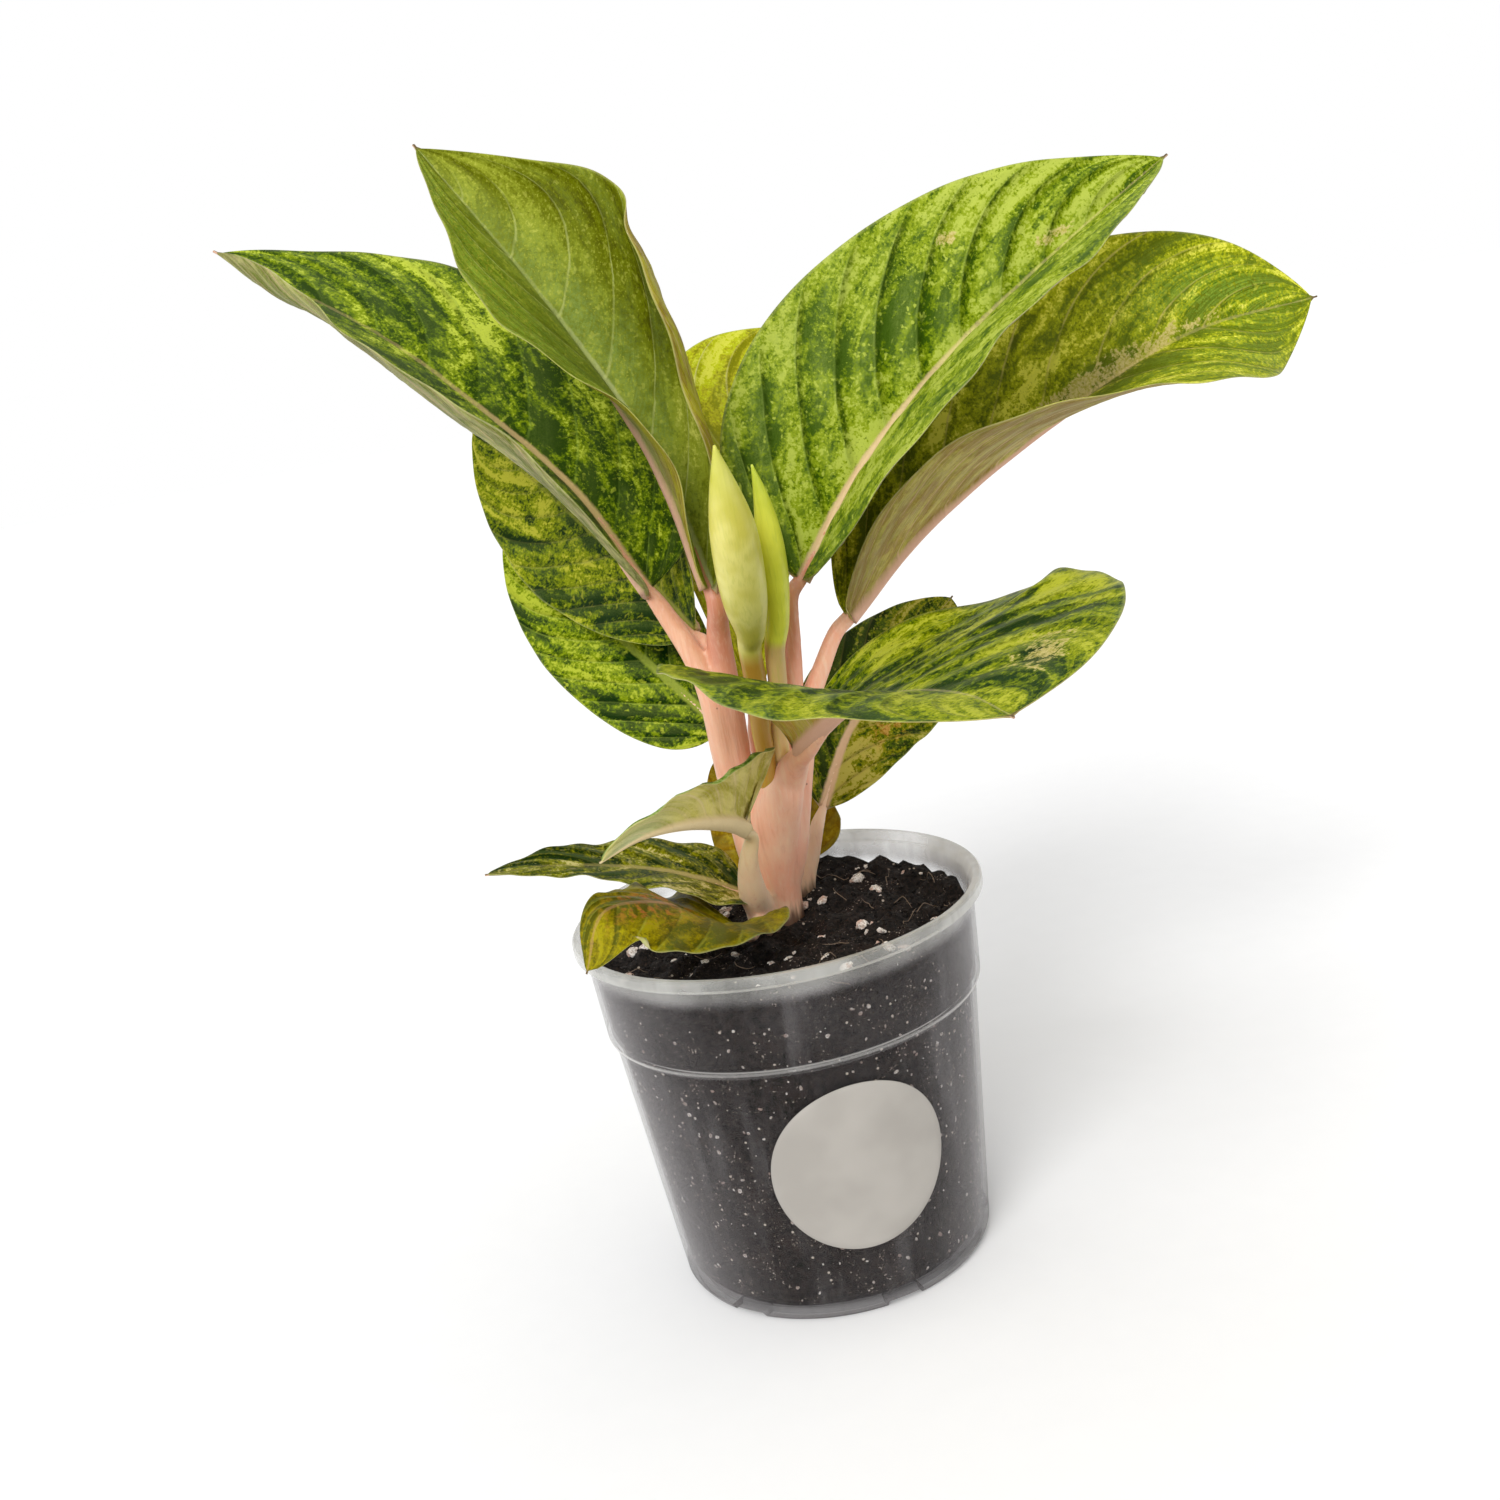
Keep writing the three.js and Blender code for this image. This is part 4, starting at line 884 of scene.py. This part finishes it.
def makeSpathe(s):
    steps, sides = 110, 48

    def wrap(share, turns):  # the sheath's edge laps over itself, which leaves a fine step down one side
        around = np.mod(turns - s["seam"] - 1.6 * share, 2 * math.pi) / (2 * math.pi)
        lap = 0.09 * np.clip((share - s["collar"]) / 0.06, 0, 1)
        return 1 + lap * (around**3 - 0.4)

    grid = tubeGrid(s["route"], s["radii"], sides, steps, wrap) * mm
    piece = newPiece(s["name"], grid.reshape(-1, 3), tubeFaces(steps, sides))
    turns = np.linspace(0, 1, sides, endpoint=False)
    share = np.linspace(0, 1, steps + 1)
    marks = np.stack(np.meshgrid(turns, share), -1).reshape(-1, 2)
    writeColour(piece.data, "place", np.concatenate([marks, np.zeros((len(marks), 1))], 1))
    material, tree, shader = newMaterial(s["name"] + "Skin")
    place = objectPlace(tree)
    upShare = parted(marksOn(tree, "place"))[1]
    lines = noiseOn(spread(place, (1500.0, 700.0, 60.0)), 1.0, 2, 0.5)
    cloud = noiseOn(place, 90.0, 2, 0.5)
    colour = mixed(ramp(cloud, 0.35, 0.65), s["pale"], s["body"])
    colour = layered(colour, [
        (ramp(upShare, 0.82, 1.0, 0.0, 0.8), s["tip"]),
        (ramp(upShare, s["collar"], s["collar"] + 0.05, 1.0, 0.0), s["stalk"]),
        (times(ramp(lines, 0.5, 0.7), 0.22), s["tip"]),
    ])
    feed(tree, shader, {
        "Base Color": colour, "Roughness": 0.42, "Normal": bump(lines, 0.00012),
        "Subsurface Weight": 0.3, "Subsurface Radius": (1.0, 1.0, 0.3), "Subsurface Scale": 0.002,
    })
    dress(piece, material, [s["node"]])


for given in spatheSettings:
    makeSpathe(given)
print("spathes made")


# Pot: clear, thin-walled, with a rim, a ledge, a drained floor ring and foot notches. Lengths in mm.
potSettings = {
    "height": 110, "rimRadius": 60, "rimHeight": 3.5, "neckRadius": 57, "ledgeHeight": 80.5,
    "ledgeFoot": 79, "ledgeRadius": 55.4, "bodyTop": 53.8, "bodyFoot": 46.5, "footHeight": 3,
    "footRadius": 44, "wall": 1.2, "soilLevel": 100,
    "floorLift": 2.5, "padRadius": 30, "ringRadius": 41, "drains": 6, "drainRadius": 3, "notchWidth": 11,
    "notchReach": 8, "notchHeight": 2.2,
    "firstNotch": -130, "sides": 144,
}


def latheGrid(profile, sides):
    return [ringPoint(r, t, z) for r, z in profile for t in turnsRound(sides)]


def latheFaces(rings, sides):
    faces = []
    for j in range(rings - 1):
        for i in range(sides):
            a, b = j * sides + i, j * sides + (i + 1) % sides
            faces.append((a, b, b + sides, a + sides))
    return faces


def makePot(s):
    w, rimFoot = s["wall"], s["height"] - s["rimHeight"]
    outer = [(s["padRadius"] - 1, 0), (s["padRadius"], 0), (s["padRadius"] + 1, s["floorLift"]),
             (s["ringRadius"], s["floorLift"]), (s["ringRadius"] + 1, 0), (s["footRadius"], 0),
             (s["footRadius"] + 0.9, 0.25), (s["bodyFoot"] - 0.3, s["footHeight"] - 0.9),
             (s["bodyFoot"], s["footHeight"]), (s["bodyTop"], s["ledgeFoot"]),
             (s["bodyTop"] + 0.5, s["ledgeFoot"] + 0.35), (s["ledgeRadius"] - 0.2, s["ledgeHeight"] - 0.15),
             (s["ledgeRadius"], s["ledgeHeight"] + 0.5),
             (s["neckRadius"], rimFoot - 0.5), (s["neckRadius"] + 0.6, rimFoot - 0.1),
             (s["rimRadius"] - 0.5, rimFoot), (s["rimRadius"], rimFoot + 0.5),
             (s["rimRadius"], s["height"] - 0.6), (s["rimRadius"] - 0.5, s["height"])]
    inner = [(s["neckRadius"] + 0.9, s["height"]), (s["neckRadius"] + 0.3, s["height"] - 0.4),
             (s["neckRadius"] - w, rimFoot), (s["ledgeRadius"] - w, s["ledgeHeight"] + 1),
             (s["bodyTop"] - w, s["ledgeFoot"] + 0.9), (s["bodyFoot"] - w, s["footHeight"] + w),
             (s["footRadius"] - w, s["floorLift"] + w), (s["padRadius"], s["floorLift"] + w),
             (s["padRadius"] - 1, w)]
    profile = outer + inner
    rings = len(profile)
    points = latheGrid(profile, s["sides"])
    faces = latheFaces(rings, s["sides"])
    faces.append(tuple(reversed(range(s["sides"]))))
    faces.append(tuple((rings - 1) * s["sides"] + i for i in range(s["sides"])))
    pot = newPiece("clear_pot", points, faces)
    cutPoints, cutFaces = [], []
    for k in range(s["drains"]):
        turn = math.radians(s["firstNotch"] + 360 * k / s["drains"])
        ahead, side = np.array([math.cos(turn), math.sin(turn)]), np.array([-math.sin(turn), math.cos(turn)])
        centre = ahead * (s["padRadius"] + 1 + s["ringRadius"]) / 2
        hole = [centre + s["drainRadius"] * np.array([math.cos(a), math.sin(a)]) for a in turnsRound(24)]
        half, reach = s["notchWidth"] / 2, s["notchReach"]
        corners = [ahead * (s["ringRadius"] + u) + side * v
                   for u, v in ((0, -half), (reach, -half), (reach, half), (0, half))]
        for outline, low, high in ((hole, -1, 6), (corners, -s["notchHeight"], s["notchHeight"])):
            start = len(cutPoints)
            cutPoints += [(x * mm, y * mm, z * mm) for z in (low, high) for x, y in outline]
            cutFaces += tubeFaces(1, len(outline), start)
    cutter = newPiece("cutter", cutPoints, cutFaces, smooth=False)
    cut = pot.modifiers.new("cut", "BOOLEAN")
    cut.operation = "DIFFERENCE"
    cut.solver = "EXACT"
    cut.object = cutter
    plainMesh(pot)
    bpy.data.objects.remove(cutter)
    pot.data.shade_smooth()
    pot.data.set_sharp_from_angle(angle=math.radians(38))
    return pot


def makePotMaterial():  # clear plastic: a thin veil below, hazier above the soil and on the rim
    material, tree, shader = newMaterial("clearPlastic")
    place = objectPlace(tree)
    height = parted(place)[2]
    scuff = noiseOn(spread(place, (500.0, 500.0, 260.0)), 1.0, 3, 0.6)
    haze = noiseOn(spread(place, (45.0, 45.0, 30.0)), 1.0, 3, 0.55)
    # Painted reflection: faint vertical streaks that thicken the veil a little, for soft reflections running
    # up the wall.
    reflectionStreaks = noiseOn(spread(place, (120.0, 120.0, 14.0)), 1.0, 3, 0.6)
    edge = put(tree, "ShaderNodeLayerWeight", {"Blend": 0.32}).outputs["Facing"]
    ledge, soilLevel = potSettings["ledgeHeight"] * mm, potSettings["soilLevel"] * mm
    aboveLedge = ramp(height, ledge - 0.001, ledge + 0.001, 0.03, 0.04)
    aboveSoil = ramp(height, soilLevel - 0.0005, soilLevel + 0.0035, 0.0, 0.3)
    veil = calc("ADD", aboveLedge, aboveSoil)
    veil = times(veil, ramp(haze, 0.3, 0.7, 0.5, 1.5))
    veil = calc("MULTIPLY_ADD", ramp(reflectionStreaks, 0.5, 0.72), 0.1, veil)
    glint = ramp(height, ledge + 0.0006, ledge + 0.0013, 1.0, 0.0)
    glint = times(ramp(height, ledge - 0.0003, ledge + 0.0002), glint)
    veil = calc("MULTIPLY_ADD", glint, 0.22, veil)
    # Painted shade: the lowest few mm of the pot, its foot, are darker and less clear.
    foot = ramp(height, 0.0022, 0.0034, 1.0, 0.0)
    alpha = calc("MULTIPLY_ADD", ramp(edge, 0.15, 0.75), 0.42, veil, clamp=True)
    alpha = calc("MULTIPLY_ADD", foot, 0.4, alpha, clamp=True)
    colour = mixed(ramp(height, soilLevel, soilLevel + 0.008), "8d898a", "cfcfca")
    feed(tree, shader, {
        "Base Color": layered(colour, [(glint, "e4e2de"), (foot, "6a6566")]), "Alpha": alpha, "IOR": 1.49,
        "Roughness": ramp(scuff, 0.3, 0.8, 0.12, 0.24), "Normal": bump(haze, 0.0012, 0.25),
    })
    return material


dress(makePot(potSettings), makePotMaterial(), ["nursery_pot"])
print("pot made")


# Soil: fills the pot, crumbly on top, with perlite grains, crumbs and short root threads. Lengths in mm.
# What is strewn on it has a size for its largest grain, and "Least" is the smallest draw for the others.
soilSettings = {
    "level": potSettings["soilLevel"], "inset": 0.7, "sides": 150, "rings": 46, "threads": 46, "seed": 11,
}
crumbSettings = {
    "Count": 2600, "Size": 1.0 * mm, "Least": 0.35, "Flatness": 0.85, "Seed": 5, "Rounding": 1,
}
topGrainSettings = {
    "Count": 42, "Size": 2.48 * mm, "Least": 0.45, "Flatness": 0.7, "Seed": 23, "Rounding": 3,
}
wallGrainSettings = {
    "Count": 1300, "Size": 0.84 * mm, "Least": 0.3, "Flatness": 0.45, "Seed": 31, "Rounding": 1,
}


def soilTop(x, y):
    ripple = math.sin(0.31 * x + 1.3) * math.cos(0.27 * y) + 0.7 * math.sin(0.57 * x - 0.43 * y)
    dip = 1.5 * math.exp(-((math.hypot(x - 1, y - 10) / 14) ** 2))
    edge = max(0.0, (math.hypot(x, y) - 42) / 12)
    bank = 2.5 * edge * max(0.0, math.sin(math.atan2(y, x) + 0.4))
    lumps = 2.0 * noise.fractal(Vector((x, y, 3.0)) * 0.16, 0.9, 2.1, 5)
    return soilSettings["level"] + ripple - dip + bank + lumps - 0.4


def wallInside(z):
    p = potSettings
    if z <= p["footHeight"] + p["wall"]:
        return p["footRadius"] - p["wall"]
    if z <= p["ledgeFoot"] + 0.9:
        share = (z - p["footHeight"]) / (p["ledgeFoot"] - p["footHeight"])
        return p["bodyFoot"] + (p["bodyTop"] - p["bodyFoot"]) * min(share, 1) - p["wall"]
    share = (z - p["ledgeHeight"] - 1) / (p["height"] - p["rimHeight"] - p["ledgeHeight"] - 1)
    return p["ledgeRadius"] - p["wall"] + (p["neckRadius"] - p["ledgeRadius"]) * max(share, 0)


def makeSoil(s):
    sides = s["sides"]
    turns = turnsRound(sides)
    heights = [1.5 + potSettings["wall"], 6] + list(np.linspace(10, 78.5, 22)) + list(np.linspace(83, 97, 6))
    points = []
    for z in heights:
        for t in turns:
            radius = wallInside(z) - s["inset"]
            dent = noise.fractal(Vector((radius * math.cos(t), radius * math.sin(t), z)) * 0.14, 1.0, 2.0, 4)
            radius -= 0.5 * max(0.0, dent)
            points.append(ringPoint(radius, t, z))
    topRadius = wallInside(s["level"]) - s["inset"]
    reaches = topRadius * (1 - (np.arange(s["rings"]) / s["rings"]) ** 1.1)
    for reach in reaches:
        for t in turns:
            x, y = reach * math.cos(t), reach * math.sin(t)
            points.append((x * mm, y * mm, soilTop(x, y) * mm))
    rows = len(heights) + len(reaches)
    faces = latheFaces(rows, sides)
    points.append((0, 0, soilTop(0, 0) * mm))
    last = len(points) - 1
    faces += [((rows - 1) * sides + i, (rows - 1) * sides + (i + 1) % sides, last) for i in range(sides)]
    faces.append(tuple(reversed(range(sides))))
    return newPiece("soil_body", points, faces)


def soilPatch(name, inside, outside, low, high):  # a bare surface that grains are strewn on
    sides = 120
    turns = turnsRound(sides)
    if low is None:
        rows = np.linspace(outside, inside, 24)
        points = [ringPoint(r, t, soilTop(r * math.cos(t), r * math.sin(t))) for r in rows for t in turns]
    else:
        rows = np.linspace(low, high, 24)
        points = [ringPoint(wallInside(z) - soilSettings["inset"], t, z) for z in rows for t in turns]
    return newPiece(name, points, latheFaces(len(rows), sides))


def strewTree(name, material):  # strews uneven grains on the surface that it is given
    tree = bpy.data.node_groups.new(name, "GeometryNodeTree")
    face = tree.interface
    face.new_socket("Geometry", in_out="INPUT", socket_type="NodeSocketGeometry")
    for label, kind, value in (("Count", "Int", 100), ("Size", "Float", 0.001), ("Least", "Float", 0.4),
                               ("Flatness", "Float", 0.8), ("Seed", "Int", 1), ("Rounding", "Int", 1)):
        face.new_socket(label, in_out="INPUT", socket_type="NodeSocket" + kind).default_value = value
    face.new_socket("Geometry", in_out="OUTPUT", socket_type="NodeSocketGeometry")
    given = tree.nodes.new("NodeGroupInput").outputs

    def drawn(kind, values):  # a random value for each grain, from the seed that is given
        values = {**values, "Seed": given["Seed"]}
        return put(tree, "FunctionNodeRandomValue", values, data_type=kind).outputs

    faceArea = put(tree, "GeometryNodeInputMeshFaceArea").outputs[0]
    values = {"Geometry": given["Geometry"], "Attribute": faceArea}
    area = put(tree, "GeometryNodeAttributeStatistic", values, domain="FACE").outputs["Sum"]
    density = calc("DIVIDE", given["Count"], area)
    values = {"Mesh": given["Geometry"], "Density": density, "Seed": given["Seed"]}
    strewn = put(tree, "GeometryNodeDistributePointsOnFaces", values).outputs
    values = {"Radius": 1.0, "Subdivisions": given["Rounding"]}
    grain = put(tree, "GeometryNodeMeshIcoSphere", values).outputs[0]
    size = drawn("FLOAT", {"Min": given["Least"], "Max": 1.0})[1]
    size = times(calc("POWER", size, 2.2), given["Size"])
    wide = drawn("FLOAT_VECTOR", {0: (0.75, 0.75, 0.7), 1: (1.3, 1.1, 1.0)})[0]
    flat = put(tree, "ShaderNodeCombineXYZ", {0: 1.0, 1: 1.0, 2: given["Flatness"]}).outputs[0]
    scale = vectorMath("SCALE", vectorMath("MULTIPLY", wide, {1: flat}), {"Scale": size})
    spin = drawn("FLOAT_VECTOR", {0: (0.0, 0.0, 0.0), 1: (0.5, 0.5, 6.28)})[0]
    values = {0: strewn["Rotation"], 1: put(tree, "FunctionNodeEulerToRotation", {0: spin}).outputs[0]}
    turn = put(tree, "FunctionNodeRotateRotation", values, rotation_space="LOCAL").outputs[0]
    values = {"Points": strewn["Points"], "Instance": grain, "Rotation": turn, "Scale": scale}
    placed = put(tree, "GeometryNodeInstanceOnPoints", values).outputs[0]
    real = put(tree, "GeometryNodeRealizeInstances", {0: placed}).outputs[0]
    where = put(tree, "GeometryNodeInputPosition").outputs[0]
    rough = put(tree, "ShaderNodeTexNoise", {"Vector": where, "Scale": 620.0, "Detail": 2.0}).outputs["Color"]
    shove = vectorMath("SUBTRACT", rough, {1: (0.5, 0.5, 0.5)})
    shove = vectorMath("SCALE", shove, {"Scale": times(given["Size"], 0.9)})
    uneven = put(tree, "GeometryNodeSetPosition", {"Geometry": real, "Offset": shove}).outputs[0]
    done = put(tree, "GeometryNodeSetMaterial", {"Geometry": uneven, "Material": material}).outputs[0]
    put(tree, "NodeGroupOutput", {0: done})
    return tree


def strew(name, patch, material, values):
    tree = strewTree(name + "Tree", material)
    modifier = patch.modifiers.new("strew", "NODES")
    modifier.node_group = tree
    for item in tree.interface.items_tree:
        if item.in_out == "INPUT" and item.name in values:
            modifier[item.identifier] = values[item.name]
    plainMesh(patch)
    patch.name = name
    dress(patch, material)
    return patch


def makeSoilMaterial():
    material, tree, shader = newMaterial("dampSoil")
    place = objectPlace(tree)
    crumb = noiseOn(place, 700.0, 4, 0.7)
    clod = noiseOn(place, 130.0, 4, 0.6)
    fibre = noiseOn(spread(place, (1400.0, 300.0, 900.0)), 1.0, 3, 0.7, 1.2)
    colour = mixed(ramp(crumb, 0.35, 0.65), "060403", "1f1510")
    speck = put(tree, "ShaderNodeTexVoronoi", {"Vector": place, "Scale": 420.0})
    white = ramp(speck.outputs["Distance"], 0.12, 0.2, 1.0, 0.0)
    chosen = ramp(parted(speck.outputs["Color"])[1], 0.82, 0.84)
    dust = times(ramp(noiseOn(place, 1500.0, 1), 0.66, 0.74), ramp(clod, 0.45, 0.6))
    colour = layered(colour, [
        (times(ramp(clod, 0.5, 0.7), 0.6), "281c17"),
        (times(ramp(fibre, 0.62, 0.74), 0.5), "6b5444"),
        (times(white, chosen), "b5a99c"),
        (dust, "a89a90"),
    ])
    feed(tree, shader, {
        "Base Color": colour, "Roughness": ramp(crumb, 0.3, 0.7, 0.95, 0.6), "Specular IOR Level": 0.3,
        "Normal": bump(calc("MULTIPLY_ADD", clod, 1.5, crumb), 0.0009),
    })
    return material


def makePerliteMaterial():
    material, tree, shader = newMaterial("perlite")
    place = objectPlace(tree)
    pore = noiseOn(place, 1500.0, 3, 0.6)
    stain = noiseOn(place, 260.0, 3, 0.6)
    colour = mixed(ramp(pore, 0.35, 0.6), "b5a598", "fbf6f0")
    pressed = ramp(parted(place)[2], 0.094, 0.097, 0.75, 0.0)  # the grains on the wall, below the soil's top, are darker
    colour = layered(colour, [
        (times(ramp(stain, 0.45, 0.65), 0.8), "c99f8c"),
        (times(pressed, ramp(stain, 0.35, 0.6, 0.4, 1.0)), "5e5450"),
    ])
    feed(tree, shader, {"Base Color": colour, "Roughness": ramp(pore, 0.3, 0.7, 0.95, 0.8),
                        "Normal": bump(pore, 0.0004)})
    return material


def makeThreadMaterial():
    material, tree, shader = newMaterial("rootThread")
    feed(tree, shader, {"Base Color": mixed(noiseOn(objectPlace(tree), 300.0), "4b3a2c", "a08a74")})
    return material


def makeThreads(s, material):  # short root threads and peat fibres that lie on the soil
    draws = np.random.default_rng(s["seed"])
    points, faces = [], []
    for _ in range(s["threads"]):
        reach, turn = 18 + 33 * math.sqrt(draws.random()), 2 * math.pi * draws.random()
        x, y = reach * math.cos(turn), reach * math.sin(turn)
        heading, route = 2 * math.pi * draws.random(), []
        for _ in range(5):
            if math.hypot(x, y) > 52:
                break
            route.append((x, y, soilTop(x, y) + 0.6 + 0.9 * draws.random()))
            heading += 1.1 * (draws.random() - 0.5)
            step = 1.2 + 1.8 * draws.random()
            x, y = x + step * math.cos(heading), y + step * math.sin(heading)
        if len(route) < 3:
            continue
        grid = tubeGrid(route, [0.13, 0.12, 0.06], 5, 8) * mm
        faces += tubeFaces(8, 5, len(points))
        points += list(grid.reshape(-1, 3))
    threads = newPiece("root_threads", points, faces)
    dress(threads, material)


soilMaterial = makeSoilMaterial()
perliteMaterial = makePerliteMaterial()
dress(makeSoil(soilSettings), soilMaterial, ["potting_soil"])
for name, patch, material, values in (
        ("soil_crumbs", ("crumbPatch", 9, 52.5, None, None), soilMaterial, crumbSettings),
        ("perlite_top", ("topPatch", 17, 50, None, None), perliteMaterial, topGrainSettings),
        ("perlite_side", ("sidePatch", 0, 0, 6, 94), perliteMaterial, wallGrainSettings)):
    strew(name, soilPatch(*patch), material, values)
makeThreads(soilSettings, makeThreadMaterial())
print("soil made")


# Label: a bare round sticker that follows the pot's wall. Lengths in mm.
labelSettings = {
    "diameter": 51, "height": 47, "turn": -78.5, "thickness": 0.25, "gap": 0.12, "rings": 14, "sides": 96,
}


def makeLabel(s):
    p = potSettings

    def wall(z):
        widening = p["bodyTop"] - p["bodyFoot"]
        return p["bodyFoot"] + widening * (z - p["footHeight"]) / (p["ledgeFoot"] - p["footHeight"])

    def spot(reach, turn, lift):
        z = s["height"] + reach * math.sin(turn)
        around = math.radians(s["turn"]) + reach * math.cos(turn) / wall(z)
        radius = wall(z) + s["gap"] + lift
        return ringPoint(radius, around, z)

    sides = s["sides"]
    turns = turnsRound(sides)
    reaches = np.linspace(0, s["diameter"] / 2, s["rings"] + 1)[1:]
    rows = [(r, s["thickness"]) for r in reaches[:-1]]
    rows += [(reaches[-1] - 0.1, s["thickness"]), (reaches[-1], s["thickness"] * 0.7), (reaches[-1], 0.0)]
    rows += [(r, 0.0) for r in reaches[::-1][1:]]
    points = [spot(0, 0, s["thickness"])] + [spot(r, t, lift) for r, lift in rows for t in turns]
    points.append(spot(0, 0, 0))
    faces = [(0, 1 + i, 1 + (i + 1) % sides) for i in range(sides)]
    for j in range(len(rows) - 1):
        for i in range(sides):
            a, b = 1 + j * sides + i, 1 + j * sides + (i + 1) % sides
            faces.append((a, a + sides, b + sides, b))
    end, last = len(points) - 1, 1 + (len(rows) - 1) * sides
    faces += [(end, last + (i + 1) % sides, last + i) for i in range(sides)]
    return newPiece("label", points, faces)


def makeLabelMaterial():
    material, tree, shader = newMaterial("stickerPaper")
    place = objectPlace(tree)
    fibre = noiseOn(place, 1800.0, 3, 0.6)
    cloud = noiseOn(place, 55.0, 2, 0.5)
    feed(tree, shader, {
        "Base Color": mixed(ramp(cloud, 0.3, 0.7), "9d9891", "a9a49d"),
        "Roughness": ramp(fibre, 0.2, 0.8, 0.42, 0.56), "Normal": bump(fibre, 0.00004),
    })
    return material


dress(makeLabel(labelSettings), makeLabelMaterial(), ["pot_label"])
print("label made")


# Floor, light and background
lightSettings = {"from": (-0.4, -1.0, 0.85), "softness": 30.0, "sun": 1.9, "sky": 0.8}


def makeStage():
    sides, reaches = 96, (0.8, 2.2, 6.0)
    points = [(r * math.cos(t), r * math.sin(t), 0) for r in reaches for t in turnsRound(sides)] + [(0, 0, 0)]
    faces = latheFaces(len(reaches), sides)
    faces += [(i, len(points) - 1, (i + 1) % sides) for i in range(sides)]
    floor = newPiece("floor", points, [tuple(reversed(f)) for f in faces])
    material, tree, shader = newMaterial("paleFloor")
    tone = mixed(noiseOn(objectPlace(tree), 90.0, 2), (0.93, 0.93, 0.93, 1), (0.95, 0.95, 0.95, 1))
    feed(tree, shader, {"Base Color": tone, "Roughness": 0.9, "Specular IOR Level": 0.1})
    floor.data.materials.append(material)


def makeLights(s):
    data = bpy.data.lights.new("key", "SUN")
    data.energy = s["sun"]
    data.angle = math.radians(s["softness"])
    light = bpy.data.objects.new("key", data)
    light.rotation_euler = (-Vector(s["from"])).to_track_quat("-Z", "Y").to_euler()
    scene.collection.objects.link(light)
    world = bpy.data.worlds.new("studio")
    world.use_nodes = True
    tree = world.node_tree
    seen = put(tree, "ShaderNodeLightPath").outputs["Is Camera Ray"]
    strength = ramp(seen, 0.0, 1.0, s["sky"], 1.0)
    feed(tree, tree.nodes["Background"], {"Strength": strength, "Color": (1.0, 1.0, 1.0, 1.0)})
    scene.world = world
    scene.view_settings.view_transform = "Standard"
    scene.view_settings.look = "None"


makeStage()
makeLights(lightSettings)
print("stage made")
